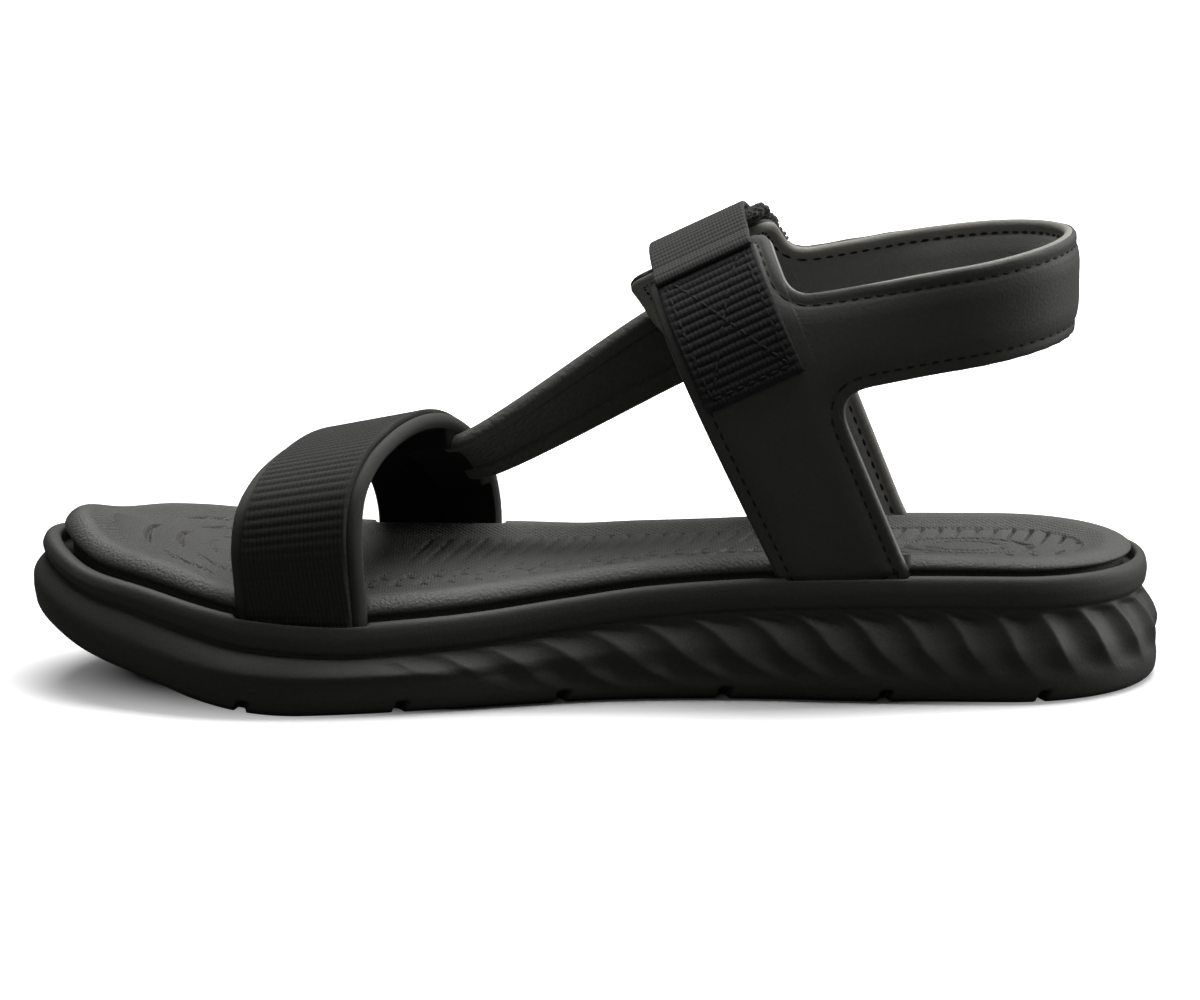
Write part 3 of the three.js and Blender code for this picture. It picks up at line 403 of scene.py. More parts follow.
def cap_faces(first_ring, first_cap, columns):
    """Quads of a cap between its ring and its inner points, with triangles at both tips."""
    lines = HALF_RING - 1
    ring_inner = first_ring + np.arange(1, HALF_RING)
    ring_outer = first_ring + RING - np.arange(1, HALF_RING)
    numbers = first_cap + np.arange(lines * columns).reshape(lines, columns)
    full = np.column_stack([ring_inner, numbers, ring_outer])
    quads = np.stack([full[:-1, :-1], full[1:, :-1], full[1:, 1:], full[:-1, 1:]], -1)
    tips = []
    for tip, line in ((first_ring, full[0]), (first_ring + HALF_RING, full[-1][::-1])):
        tips.append(np.stack([np.full(len(line) - 1, tip), line[:-1], line[1:]], -1))
    return quads.reshape(-1, 4), np.concatenate(tips)


def sole_body(name, rows, low_cap, high_cap, low_columns, high_columns, edge_uv=None):
    """A closed body from stacked rings, with a cap under the first and over the last.

    edge_uv gives u on the rings; the caps have u = 1. Materials use it to tell edge from bed.
    """
    count = len(rows)
    low = cap_points(rows[0], low_columns, low_cap)
    high = cap_points(rows[-1], high_columns, high_cap)
    points = np.concatenate([rows.reshape(-1, 3), low.reshape(-1, 3), high.reshape(-1, 3)])
    walls = grid_faces(count, RING, close_columns=True)
    size = count * RING
    high_first = size + low.shape[0] * low_columns
    low_quads, low_tips = cap_faces(0, size, low_columns)
    high_quads, high_tips = cap_faces((count - 1) * RING, high_first, high_columns)
    quads = np.concatenate([walls, low_quads, high_quads[:, ::-1]])
    tips = np.concatenate([low_tips, high_tips[:, ::-1]])
    uv = None
    if edge_uv is not None:
        caps = np.ones(low.shape[0] * low_columns + high.shape[0] * high_columns)
        u = np.concatenate([edge_uv.ravel(), caps])
        uv = np.stack([u, 0 * u], -1)
    return add_mesh(name, points, [quads, tips], uv)


print(HALF_RING - 1, "lines across a cap")

# %% [markdown]
# ## The ankle upper's surface
# The upper arches over the instep and leans forward. Its band leaves the legs and turns round
# the heel. A real upper is cut flat and bent, so both parts follow one fold of a flat pattern.

# %% Ankle arch
leg_across = np.array([np.cos(LEG_LEAN), 0, np.sin(LEG_LEAN)])
leg_up = np.array([-np.sin(LEG_LEAN), 0, np.cos(LEG_LEAN)])
leg_half = half_width(LEG_STATION) - SLOT_INSET - STACK / 2
pivot_x = BAND_REAR - BAND_RADIUS
pivot_y = float(centre_line(station(pivot_x)))
leg_origin = np.array([lengthwise(LEG_STATION), pivot_y, float(seam_height(LEG_STATION, 0))])
half_arch = [[a * INSTEP_HALF, b * INSTEP_HEIGHT] for a, b in INSTEP_ARCH][::-1]
half_arch += [[leg_half, 0], [leg_half, -SLOT_DEPTH]]
arch_path = Path([[-y, z] for y, z in half_arch[:0:-1]] + half_arch)
LEG_BASE = arch_path.length / 2 - SLOT_DEPTH
print("ankle arch", round(arch_path.length, 1), "mm long")


# %% The upper's fold
def turned(x, y, z):
    """Points turned by ANKLE_YAW round the upright line through the heel band's centre."""
    dx, dy = x - pivot_x, y - pivot_y
    c, s = np.cos(ANKLE_YAW), np.sin(ANKLE_YAW)
    return np.stack([pivot_x + dx * c + dy * s, pivot_y - dx * s + dy * c, z + 0 * dx], -1)


def arch(reach):
    """The arch at a reach from its crest: y, height, and the outward normal in that plane."""
    y, q, ty, tq = arch_path(reach + arch_path.length / 2)
    return y, q, -tq, ty


def on_ankle(reach, r, w):
    """A point of the upper at a reach from the crest, r across the strap, w outward."""
    y, q, ny, nq = arch(reach)
    q = q + w * nq
    x = leg_origin[0] + leg_across[0] * r + leg_up[0] * q
    z = leg_origin[2] + leg_across[2] * r + leg_up[2] * q
    return turned(x, pivot_y + y + w * ny + 0 * r, z)


BEND_START = BAND_REAR - BAND_RADIUS - STACK / 2
HEEL_CENTRE = BEND_START + BAND_RADIUS * np.pi / 2


def fold(flat, w):
    """Folds flat pattern points (x, z) round the instep and the heel, w outward."""
    lateral = np.where(flat[..., 0] > HEEL_CENTRE, 1.0, -1.0)
    x = np.where(lateral > 0, 2 * HEEL_CENTRE - flat[..., 0], flat[..., 0])
    dx, dz = x - leg_origin[0], flat[..., 1] - leg_origin[2]
    r = dx * leg_across[0] + dz * leg_across[2]
    g = dx * leg_up[0] + dz * leg_up[2]
    y, q, ny, nq = arch(LEG_BASE - g)
    round_share = smooth(x, leg_origin[0], BEND_START)
    out = mix(y, BAND_RADIUS, round_share) + w * mix(ny, 1, round_share)
    lifted = mix(q, g, round_share) + w * nq * (1 - round_share)
    px = leg_origin[0] + leg_across[0] * r + leg_up[0] * lifted
    pz = leg_origin[2] + leg_across[2] * r + leg_up[2] * lifted
    angle = np.maximum(0, x - BEND_START) / BAND_RADIUS
    px = np.where(angle > 0, BEND_START + np.sin(angle) * out, px)
    return turned(px, pivot_y + lateral * np.cos(angle) * out, pz)


print("the heel's centre line is at", round(HEEL_CENTRE, 1), "mm on the flat pattern")

# %% [markdown]
# ## The flat pattern
# One half of the pattern is a leg and half of the heel band. The leg is a grid of rows, and the
# band's rows start on the leg's rear edge and end at the heel's centre line.

# %% Pattern blocks
LEG_ROWS, LEG_COLUMNS = 64, 44
BAND_ROWS, TOP_ROWS, END_ROWS = 38, 20, 10
CORNER_STEPS, BAND_COLUMNS = 14, 88


def leg_point(r, g):
    """A flat point r across a leg and g up from the seam."""
    x = leg_origin[0] + leg_across[0] * r + leg_up[0] * g
    return np.stack([x, leg_origin[2] + leg_across[2] * r + leg_up[2] * g], -1)


def corner_curve(before, corner, after, radius):
    """A quadratic curve that rounds a corner between two neighbours."""
    back = (before - corner) / np.linalg.norm(before - corner)
    on = (after - corner) / np.linalg.norm(after - corner)
    cut = radius / np.tan(np.arccos(np.clip(back @ on, -1, 1)) / 2)
    s = np.linspace(0, 1, CORNER_STEPS + 1)[:, None]
    start, end = corner + back * cut, corner + on * cut
    return start * (1 - s) ** 2 + 2 * corner * s * (1 - s) + end * s**2


def half_blocks(margin, leg_end, end, tab_reach, lift):
    """The leg's and the band's grids of flat points for one half, drawn in by margin."""
    edge = LEG_WIDTH / 2 - margin
    rear_edge = lambda g: edge + LEG_FLARE * np.clip(g, 0, BAND_HEIGHT)
    rise = (BAND_RISE - lift) / (BEND_START + BAND_RADIUS - leg_origin[0])
    base = leg_origin[2] + BAND_HEIGHT + lift + margin

    def band_low(x):
        angle = np.maximum(0, x - BEND_START) / BAND_RADIUS
        folded = np.minimum(x, BEND_START + BAND_RADIUS * np.sin(angle))
        return base + rise * (folded - leg_origin[0])

    def band_high(x):
        return band_low(x) + BAND_WIDTH - 2 * margin

    def edge_path(g, height):
        """The leg's rear edge from g, a rounded corner, then the band's edge."""
        tries = np.linspace(BAND_HEIGHT / 2, BAND_HEIGHT * 2.5, 4001)
        line = leg_point(rear_edge(tries), tries)
        corner = line[np.argmax(line[:, 1] >= height(line[:, 0]))]
        beyond = corner[0] + 2 * CORNER_RADIUS
        after = np.array([beyond, height(beyond)])
        curve = corner_curve(leg_point(rear_edge(g), g), corner, after, CORNER_RADIUS + margin)
        x = np.linspace(curve[-1, 0], HEEL_CENTRE, BAND_COLUMNS + 1)[1:]
        return np.vstack([curve, np.column_stack([x, height(x)])])

    top = LEG_BASE - end - margin
    low, high = edge_path(0.0, band_low), edge_path(top, band_high)
    g_of = lambda p: (p - leg_origin[[0, 2]]) @ leg_up[[0, 2]]
    round_turn = np.linspace(0, np.pi / 2, END_ROWS + 1)
    rows = np.concatenate([
        np.linspace(-leg_end, g_of(low[0]), LEG_ROWS, endpoint=False),
        np.linspace(g_of(low[0]), g_of(high[0]), BAND_ROWS, endpoint=False),
        np.linspace(g_of(high[0]), top - END_RADIUS, TOP_ROWS, endpoint=False),
        top - END_RADIUS * (1 - np.sin(round_turn)),
    ])
    below = np.maximum(0, END_RADIUS - (top - rows))
    rounded = END_RADIUS - np.sqrt(END_RADIUS**2 - np.minimum(below, END_RADIUS) ** 2)
    reach = tab_reach * smooth(rows, top - TAB_FLARE_START, top - TAB_FLARE_END)
    share = np.linspace(0, 1, LEG_COLUMNS + 1)
    r = mix((-edge - reach + rounded)[:, None], (rear_edge(rows) - rounded)[:, None], share)
    leg = leg_point(r, rows[:, None] + 0 * r)
    up = np.linspace(0, 1, BAND_ROWS + 1)[:, None, None]
    band = mix(low[None], high[None], up)
    band[:, 0] = leg[LEG_ROWS:LEG_ROWS + BAND_ROWS + 1, -1]
    return leg, band


def pattern_blocks(margin, leg_end):
    """The four grids of the whole upper; the lateral half is mirrored past the heel."""
    medial = half_blocks(margin, leg_end, MEDIAL_END, 0.0, 0.0)
    lateral = half_blocks(margin, leg_end, TAB_END, TAB_REACH, BAND_LATERAL_LIFT)
    mirror = np.array([-1, 1]), np.array([2 * HEEL_CENTRE, 0])
    return [*medial, *(block * mirror[0] + mirror[1] for block in lateral)]


print("pattern", sum(block[..., 0].size for block in pattern_blocks(0.0, SLOT_DEPTH)), "points")


# %% Pattern edge
def outline_loop(margin, leg_end, spacing):
    """The pattern's closed edge at even spacing, and its inward normals."""
    medial_leg, medial_band, lateral_leg, lateral_band = pattern_blocks(margin, leg_end)

    def upper_edge(leg, band):
        rear = leg[LEG_ROWS + BAND_ROWS:, -1][::-1]
        return np.vstack([leg[:, 0], leg[-1, 1:-1], rear[:-1], band[-1]])

    def lower_edge(leg, band):
        return np.vstack([leg[:LEG_ROWS, -1], band[0]])

    loop = np.vstack([
        upper_edge(medial_leg, medial_band)[:-1],
        upper_edge(lateral_leg, lateral_band)[::-1],
        lower_edge(lateral_leg, lateral_band)[:-1],
        lower_edge(medial_leg, medial_band)[::-1],
    ])
    keep = np.linalg.norm(loop - np.roll(loop, 1, axis=0), axis=1) > 1e-4
    loop = loop[keep]
    closed = np.vstack([loop, loop[:1]])
    size = np.linalg.norm(np.diff(closed, axis=0), axis=1)
    place = np.concatenate([[0], np.cumsum(size)])
    want = np.arange(0, place[-1], place[-1] / round(place[-1] / spacing))
    even = np.stack([np.interp(want, place, closed[:, k]) for k in (0, 1)], -1)
    for _ in range(3):
        even = (np.roll(even, 1, 0) + 2 * even + np.roll(even, -1, 0)) / 4
    step = np.roll(even, -1, 0) - np.roll(even, 1, 0)
    step /= np.linalg.norm(step, axis=1, keepdims=True)
    inward = np.stack([-step[:, 1], step[:, 0]], -1)
    area = np.sum(even[:, 0] * np.roll(even[:, 1], -1) - np.roll(even[:, 0], -1) * even[:, 1])
    return even, inward * np.sign(area)


pattern_edge, pattern_inward = outline_loop(0.0, SLOT_DEPTH, 0.8)
print("pattern edge", len(pattern_edge), "points")


# %% [markdown]
# ## The straps' surfaces
# The forefoot strap is an arch whose ends stand in slots beside the footbed. The instep strap is
# a sheet between three curves, from inside the forefoot strap to the tab on the outer side.

# %% Forefoot surface
forefoot_inset = SLOT_INSET + WEBBING_THICKNESS + CLEARANCE + SLEEVE_THICKNESS / 2


def strap_foot(t, side):
    """Where the forefoot strap goes down beside the footbed."""
    y = centre_line(t) + side * (half_width(t) - forefoot_inset)
    return np.array([lengthwise(t), float(y), float(seam_height(t, side))])


foot_medial = strap_foot(FOREFOOT_MEDIAL, -1)
foot_lateral = strap_foot(FOREFOOT_LATERAL, 1)
foot_run = (foot_lateral - foot_medial) * [1, 1, 0]
foot_span = np.linalg.norm(foot_run)
foot_run /= foot_span
foot_curve = [[0, foot_medial[2] - SLOT_DEPTH], [0, foot_medial[2]]]
for share, height in FOREFOOT_ARCH:
    place = (share + 1) / 2
    base = mix(foot_medial[2], foot_lateral[2], place)
    foot_curve.append([place * foot_span, base + height * FOREFOOT_HEIGHT])
foot_curve += [[foot_span, foot_lateral[2]], [foot_span, foot_lateral[2] - SLOT_DEPTH]]
foot_path = Path(foot_curve)
print("forefoot strap", round(foot_path.length, 1), "mm long")


def on_forefoot(u, v, w):
    """A point u along the forefoot arch, v towards the heel, w outward."""
    px, pz, tx, tz = foot_path(u)
    base = mix(foot_medial[2], foot_lateral[2], px / foot_span)
    rise = np.clip((pz - base) / FOREFOOT_HEIGHT, 0, 1)
    p, z = px - tz * w, pz + tx * w + v * FOREFOOT_CONE * rise
    x = foot_medial[0] + v / foot_run[1] + foot_run[0] * p
    return np.stack([x, foot_medial[1] + foot_run[1] * p, z], -1)


def lateral_place(share):
    """How far along the arch its lateral slope reaches a share of the half span."""
    u = np.linspace(foot_path.length / 2, foot_path.length, 4001)
    return u[np.argmax(foot_path(u)[0] >= (share + 1) / 2 * foot_span)]


# %% Instep surface
in_forefoot = -(SLEEVE_THICKNESS / 2 + CLEARANCE + STRAP_THICKNESS / 2)
on_tab = STACK / 2 + CLEARANCE + STRAP_THICKNESS / 2


def strap_curve(b):
    """The five points that one of the instep strap's curves runs through."""
    u = mix(lateral_place(INSTEP_LOWER), lateral_place(INSTEP_UPPER), b)
    reach = mix(INSTEP_TAB_LOWER, INSTEP_TAB_UPPER, b)
    rear, front = FOREFOOT_WIDTH / 2, -LEG_WIDTH / 2 - TAB_REACH
    return np.array([
        on_forefoot(u, rear - INSTEP_LAP, in_forefoot),
        on_forefoot(u, rear - INSTEP_LAP / 2, in_forefoot),
        on_forefoot(u, rear + CLEARANCE, in_forefoot - CLEARANCE),
        on_ankle(reach, front, on_tab),
        on_ankle(reach, front + INSTEP_TAB_LAP, on_tab),
    ])


strap_curves = [strap_curve(b) for b in (0.0, 0.5, 1.0)]


def strap_surface(a, b):
    """A quadratic blend across three curves; b may run a little past 0 and 1."""
    low, middle, high = (catmull(curve, a) for curve in strap_curves)
    b = b[..., None]
    return low * (1 - b) * (1 - 2 * b) + middle * 4 * b * (1 - b) + high * b * (2 * b - 1)


low_middle, high_middle = strap_surface(np.full(2, 0.5), np.array([0.0, 1.0]))
STRAP_WIDTH = float(np.linalg.norm(low_middle - high_middle))
print("instep strap", round(STRAP_WIDTH, 1), "mm wide")


def on_strap(a, v, w):
    """A point at a share a of the instep strap, v mm up across it, w outward."""
    a, v, w = np.broadcast_arrays(a, v, w)
    b, step = v / STRAP_WIDTH, 0.01
    ahead = strap_surface(np.minimum(a + step, 1), b) - strap_surface(np.maximum(a - step, 0), b)
    up = strap_surface(a, b + step) - strap_surface(a, b - step)
    out = np.cross(ahead, up)
    out /= np.linalg.norm(out, axis=-1, keepdims=True)
    out = np.where((out[..., 1] + out[..., 2] < 0)[..., None], -out, out)
    return strap_surface(a, b) + out * w[..., None]


# %% [markdown]
# ## Slots for the strap ends
# Each strap goes down between the footbed and the rim. The sole's surfaces drop in those
# places, so that a dark gap shows round the strap as on a real moulded sole.

# %% Slots
SLOT_GAP = 0.9


def slot_span(points):
    """From where to where along x a strap's end reaches, with a gap at both sides."""
    return points[:, 0].min() - SLOT_GAP, points[:, 0].max() + SLOT_GAP


edges_v = np.array([-FOREFOOT_WIDTH / 2, FOREFOOT_WIDTH / 2])
edges_r = np.array([-LEG_WIDTH / 2, LEG_WIDTH / 2])
slot_spans = [
    (-1, *slot_span(on_forefoot(SLOT_DEPTH + 0 * edges_v, edges_v, 0.0))),
    (1, *slot_span(on_forefoot(foot_path.length - SLOT_DEPTH + 0 * edges_v, edges_v, 0.0))),
    (-1, *slot_span(on_ankle(-LEG_BASE + 0 * edges_r, edges_r, 0.0))),
    (1, *slot_span(on_ankle(LEG_BASE + 0 * edges_r, edges_r, 0.0))),
]
print("slots", [(side, round(a, 1), round(b, 1)) for side, a, b in slot_spans])


def slot_mask(x, side):
    """1 in the stretch of the sole's edge where a strap goes down."""
    mask = np.zeros_like(x)
    for sign, start, end in slot_spans:
        inside = smooth(x, start - 0.5, start + 0.1) * (1 - smooth(x, end - 0.1, end + 0.5))
        mask = np.maximum(mask, inside * (side * sign > 0))
    return mask


# %% [markdown]
# ## The midsole
# The foam wall bulges low down and draws in under a rim. Scooped flutes run down and back from
# that groove, from the forefoot round the heel. They are an inward move of the wall, as deep as
# |sin| of a slanted phase, so that the ridges between them are crisp and the scoops are round.

# %% Flutes
FLUTE_PITCH, FLUTE_DEPTH, FLUTE_START = 11.6, 2.1, -47.0
edge_mask = slot_mask(ring_x, ring_side)


def flutes(drop):
    """How far the wall is scooped, at a drop below the groove."""
    length = mix(4.0, 17.0, smooth(ring_x, FLUTE_START, 6.0))
    start = smooth(ring_x, FLUTE_START - 6, FLUTE_START + 3)
    lean = mix(1.35, 0.62, smooth(ring_x, 35.0, 112.0))
    sway = drop + 0.8 * np.sin(np.clip(drop / 14, 0, 1) * 2 * np.pi)
    phase = (ring_arc - lean * sway) / FLUTE_PITCH
    scoop = np.sqrt(np.sin(np.pi * phase) ** 2 + 0.01)
    fade = 1 - smooth(drop, 0.4 * length, length)
    depth = FLUTE_DEPTH * mix(0.6, 1.0, smooth(ring_x, -30.0, 60.0))
    return depth * scoop * fade * start * smooth(drop, -0.5, 2.0)


print("about", round(ring_arc.max() / FLUTE_PITCH), "flutes a side at a pitch of", FLUTE_PITCH, "mm")

# %% Midsole wall
wall_share = np.linspace(0, 1, 37)[:, None]
base_z = outsole_top(ring_t)
seam_z = seam_height(ring_t, ring_side)
at_toe = 1 - smooth(ring_x, -130.0, -75.0)
groove_z = mix(rim_bottom(ring_t, ring_side), seam_z - 5.2, at_toe)
groove_inset = mix(GROOVE_INSET, 3.1, at_toe)
rim_inset = mix(RIM_INSET, 2.6, at_toe)
wall_z = mix(base_z, groove_z, wall_share)
WALL_CURVE = 2.0
base_inset = mix(1.0, 0.0, at_toe)
wall_inset = base_inset * (1 - smooth(wall_share, 0, 0.45))
wall_start = mix(0.12, 0.0, at_toe)
wall_climb = np.clip((wall_share - wall_start) / (1 - wall_start), 0, 1)
wall_inset = wall_inset + groove_inset * wall_climb**WALL_CURVE
wall = rings(wall_inset + flutes(groove_z - wall_z), wall_z)
tuck = [(4.0, base_z - 0.85), (base_inset + 0.06, base_z - 0.8), (base_inset + 0.04, base_z - 0.5)]
tuck_rows = np.stack([rings(inset, height) for inset, height in tuck])
tuck_scoop = flutes(groove_z - tuck_rows[1:, :, 2])
tuck_rows[1:, :, 0] -= ring_out[0] * tuck_scoop
tuck_rows[1:, :, 1] -= ring_out[1] * tuck_scoop
wall = np.concatenate([tuck_rows, wall])
print("wall", round(float((seam_z - base_z).min()), 1), "mm or more high under the seam")

# %% Midsole rim
rim_rows = [
    (groove_inset + 0.25, groove_z), (groove_inset + 0.15, groove_z + 0.4),
    (groove_inset - mix(0.7, 0.25, at_toe), groove_z + 0.8),
    (rim_inset - 0.1, groove_z + 1.7), (rim_inset - 0.35, mix(groove_z, seam_z, 0.55)),
    (rim_inset, seam_z - 1.5), (mix(rim_inset + 0.5, rim_inset + 0.35, edge_mask), seam_z - 0.45),
    (mix(rim_inset + 1.4, rim_inset + 0.8, edge_mask), mix(seam_z, seam_z - 0.3, edge_mask)),
    (mix(rim_inset + 1.9, rim_inset + 1.2, edge_mask), mix(seam_z, seam_z - 3.9, edge_mask)),
    (FOOTBED_INSET - 0.5, mix(seam_z - 0.25, seam_z - 3.9, edge_mask)),
    (FOOTBED_INSET - 0.3, seam_z - 1.2),
    (FOOTBED_INSET - 0.3, seam_z - 3.9),
]
rim = np.stack([rings(inset, height) for inset, height in rim_rows])
midsole_rows = np.concatenate([wall[:-1], soften(resample(rim, 34), 2)])
midsole = sole_body(
    "midsole_foam", midsole_rows,
    lambda t, side, p: outsole_top(t) - 0.85,
    lambda t, side, p: seam_height(t, side) - 3.9, 4, 4,
)

# %% [markdown]
# ## The outsole
# The rubber outsole carries on the wall's line down to a rounded edge. Six slanted grooves cross
# the tread and notch the wall, and shallow wavy sipes lie between them. All of this relief is
# in the mesh and none of it in bump, so the notches also show in the outline.

# %% Tread
GROOVE_STATIONS = lengthwise(np.linspace(0.188, 0.885, 6))
GROOVE_HALF, GROOVE_DEPTH, NOTCH_DEPTH = 1.35, 2.6, 3.6
SIPE_PITCH, SIPE_DEPTH = 5.2, 0.7
TIP_END, TIP_DROP = 0.12, 4.8
GROOVE_SLOPE = np.tan(np.radians(20))


def groove_mask(x, height):
    """1 inside a cross groove at a height above the ground."""
    centre = GROOVE_STATIONS.reshape(-1, *([1] * np.ndim(x))) + GROOVE_SLOPE * height
    return (1 - smooth(np.abs(x - centre), GROOVE_HALF - 0.5, GROOVE_HALF + 0.2)).max(0)


def tread_height(t):
    """The ground height, a little lower under the rounded tip of the toe."""
    return ground_height(t) - TIP_DROP * smooth(TIP_END - t, 0, TIP_END)


def tread(t, side, p):
    """The underside: tread height, raised in the grooves and by bells along the wavy sipes."""
    x, y = p[..., 0], p[..., 1]
    wave = x + 1.3 * np.sin(y / 3.2)
    sipe = np.exp(-((np.mod(wave, SIPE_PITCH) - SIPE_PITCH / 2) / 0.45) ** 2)
    sipe *= smooth(1 - np.abs(side), 0.12, 0.2)
    return tread_height(t) + np.maximum(GROOVE_DEPTH * groove_mask(x, 0.0), SIPE_DEPTH * sipe)


print("grooves at x =", [round(float(x), 1) for x in GROOVE_STATIONS], "mm")

# %% Outsole
sole_z = tread_height(ring_t)
side_top = outsole_top(ring_t)
edge_rows = [
    (mix(4.0, 6.0, at_toe), sole_z), (mix(2.9, 4.3, at_toe), sole_z + 0.25 + 0.25 * at_toe),
    (mix(1.95, 2.7, at_toe), sole_z + 0.85 + 0.45 * at_toe),
    (mix(1.3, 1.4, at_toe), sole_z + 1.8 + 0.8 * at_toe), (mix(1.05, 0.6, at_toe), sole_z + 3.5),
    (base_inset, mix(sole_z + 3.5, side_top, 0.6)), (base_inset, side_top),
    (base_inset + 0.05, side_top + 0.6), (3.0, side_top + 1.0),
]
outsole_rows = soften(resample(np.stack([rings(i, h) for i, h in edge_rows]), 30), 1)
above = outsole_rows[..., 2] - sole_z
scooped = flutes(groove_z - outsole_rows[..., 2])
outsole_rows[..., 0] -= ring_out[0] * scooped
outsole_rows[..., 1] -= ring_out[1] * scooped
notch = groove_mask(np.broadcast_to(ring_x, above.shape), above) * (1 - smooth(above, 2.4, 3.4))
outsole_rows[..., 0] -= ring_out[0] * NOTCH_DEPTH * notch
outsole_rows[..., 1] -= ring_out[1] * NOTCH_DEPTH * notch
outsole = sole_body(
    "outsole_rubber", outsole_rows, tread, lambda t, side, p: outsole_top(t) + 1.0, 60, 2
)

# %% [markdown]
# ## The footbed
# A smooth raised edge runs round a dished bed. The bed has slanted cut lines on its outer half,
# rows of small arcs on its inner half, arcs round the toes and a plain oval under the heel. Cuts
# are a bell-shaped drop round each line; the fine diamond knurl is left to the material.

# %% The footbed's cuts
CUT_DEPTH = 1.1
LINE_PITCH, ARC_PITCH, TOE_PITCH = 4.4, 6.2, 6.5
ARC_ROWS = [(-16.0, -62, 44, 0.0), (-9.5, -66, 40, 3.1), (-9.0, 66, 112, 0.0)]


def cut(distance, width):
    """A bell, exp(-(distance / width)^2)."""
    return np.exp(-((distance / width) ** 2))


def bed_cuts(x, y):
    """How deep the bed is cut at (x, y), in mm."""
    across = y - centre_line(station(x))
    slanted = x - 0.27 * across
    lines = cut(np.mod(slanted, LINE_PITCH) - LINE_PITCH / 2, 0.42)
    heel_part = smooth(x, 66, 72) * (1 - smooth(x, 112, 118))
    waist_part = smooth(x, -48, -40) * (1 - smooth(x, 60, 66))
    outer_half = smooth(across, 1, 3) * (1 - smooth(across, 19, 22))
    depth = lines * outer_half * np.maximum(heel_part, waist_part)
    for row, start, end, shift in ARC_ROWS:
        along_row = np.mod(x + shift, ARC_PITCH) - ARC_PITCH / 2
        bow = np.abs(np.hypot(along_row - 1.4, across - row) - 3.2)
        left = smooth(-along_row, -0.6, 0.2)
        depth = np.maximum(depth, cut(bow, 0.45) * left * (x > start) * (x < end))
    toe_reach = np.hypot((x + 72) * 0.86, across * 1.18)
    toe_lines = cut(np.mod(toe_reach, TOE_PITCH) - TOE_PITCH / 2, 0.5)
    breaks = smooth(np.sin(np.arctan2(across, -(x + 72)) * 9 + toe_reach * 0.9), -0.55, -0.25)
    toe_part = smooth(toe_reach, 14, 18) * (1 - smooth(toe_reach, 41, 44)) * (x < -76)
    depth = np.maximum(depth, toe_lines * breaks * toe_part)
    oval = np.hypot((x - 86) / 15, (across + 1) / 8.5)
    plain = 1 - smooth(oval, 1.15, 1.35)
    ring_cut = cut((oval - 1) * 9, 0.6)
    inner_cut = cut((oval - 0.62) * 9, 0.5) * smooth(np.abs(across + 1), 1.2, 2.0)
    return CUT_DEPTH * (depth * (1 - plain) + np.maximum(ring_cut, inner_cut))


print("cuts up to", CUT_DEPTH, "mm deep")


# %% Footbed
def bed_height(t, side, p):
    """The dished bed with a heel cup, a low arch and the cuts."""
    x, y = p[..., 0], p[..., 1]
    across = (y - centre_line(t)) / full_half(t)
    cup = 0.9 * np.exp(-((x - 84) / 30) ** 2 - (across / 0.6) ** 2)
    ball = 0.7 * np.exp(-((x + 58) / 24) ** 2 - (across / 0.55) ** 2)
    edge = smooth(1 - np.abs(across), 0.36, 0.55)
    return ridge_top(t, side) - FOOTBED_DISH - (cup + ball) * edge - bed_cuts(x, y)


ridge_z = ridge_top(ring_t, ring_side) - seam_z
bed_rows = [
    (9.4, seam_z - 3.7), (9.4, seam_z - 1.0), (9.3, seam_z + 0.06 * ridge_z),
    (8.7, seam_z + 0.16 * ridge_z), (7.3, seam_z + 0.26 * ridge_z), (7.4, seam_z + 0.45 * ridge_z),
    (8.6, seam_z + 0.75 * ridge_z), (9.9, seam_z + 0.92 * ridge_z), (11.0, seam_z + ridge_z),
    (12.2, seam_z + ridge_z), (12.5, seam_z + ridge_z - 0.15),
    (14.8, seam_z + ridge_z - 0.3 * FOOTBED_DISH), (17.0, seam_z + ridge_z - 0.72 * FOOTBED_DISH),
    (19.0, seam_z + ridge_z - FOOTBED_DISH),
]
bed_edge = soften(resample(np.stack([rings(i, h) for i, h in bed_rows]), 30), 2)
from_outline = np.linalg.norm(bed_edge[..., :2] - rings(0, seam_z)[..., :2], axis=-1)
drop = edge_mask * (1 - smooth(from_outline, 11.8, 12.6))
bed_z = bed_edge[..., 2]
bed_edge[..., 2] = np.minimum(bed_z, mix(bed_z, seam_z - 3.4, drop))
footbed = sole_body(
    "footbed_top", bed_edge, lambda t, side, p: seam_height(t, side) - 3.7, bed_height, 2, 84,
    smooth(from_outline, 12.6, 13.6),
)


# %% [markdown]
# ## Strips and shells
# A strip is a woven or padded band: two grids of the same size, one above the other, that meet at
# rounded margins. A shell is the same idea on the pattern's four joined blocks. Both are closed
# solids with a real thickness, so that their edges catch the light.

# %% Strip helpers
def margins(start, end, inner, radius, steps=6):
    """Positions from start to end, dense in the rounded margins, and the fullness at each."""
    turn = np.linspace(0.06, np.pi / 2, steps + 1)
    edge, fullness = radius * (1 - np.cos(turn)), np.sin(turn)
    middle = np.linspace(start + radius, end - radius, inner + 2)[1:-1]
    place = np.concatenate([start + edge, middle, (end - edge)[::-1]])
    return place, np.concatenate([fullness, np.ones(inner), fullness[::-1]])


def skin_faces(rows, columns):
    """Two grids, the second turned over, and the band that joins their borders."""
    size = rows * columns
    top = grid_faces(rows, columns)
    index = np.arange(size).reshape(rows, columns)
    border = np.concatenate([index[:-1, 0], index[-1, :-1], index[:0:-1, -1], index[0, :0:-1]])
    after = np.roll(border, -1)
    band = np.stack([after, border, border + size, after + size], -1)
    return np.concatenate([top, size + top[:, ::-1], band])


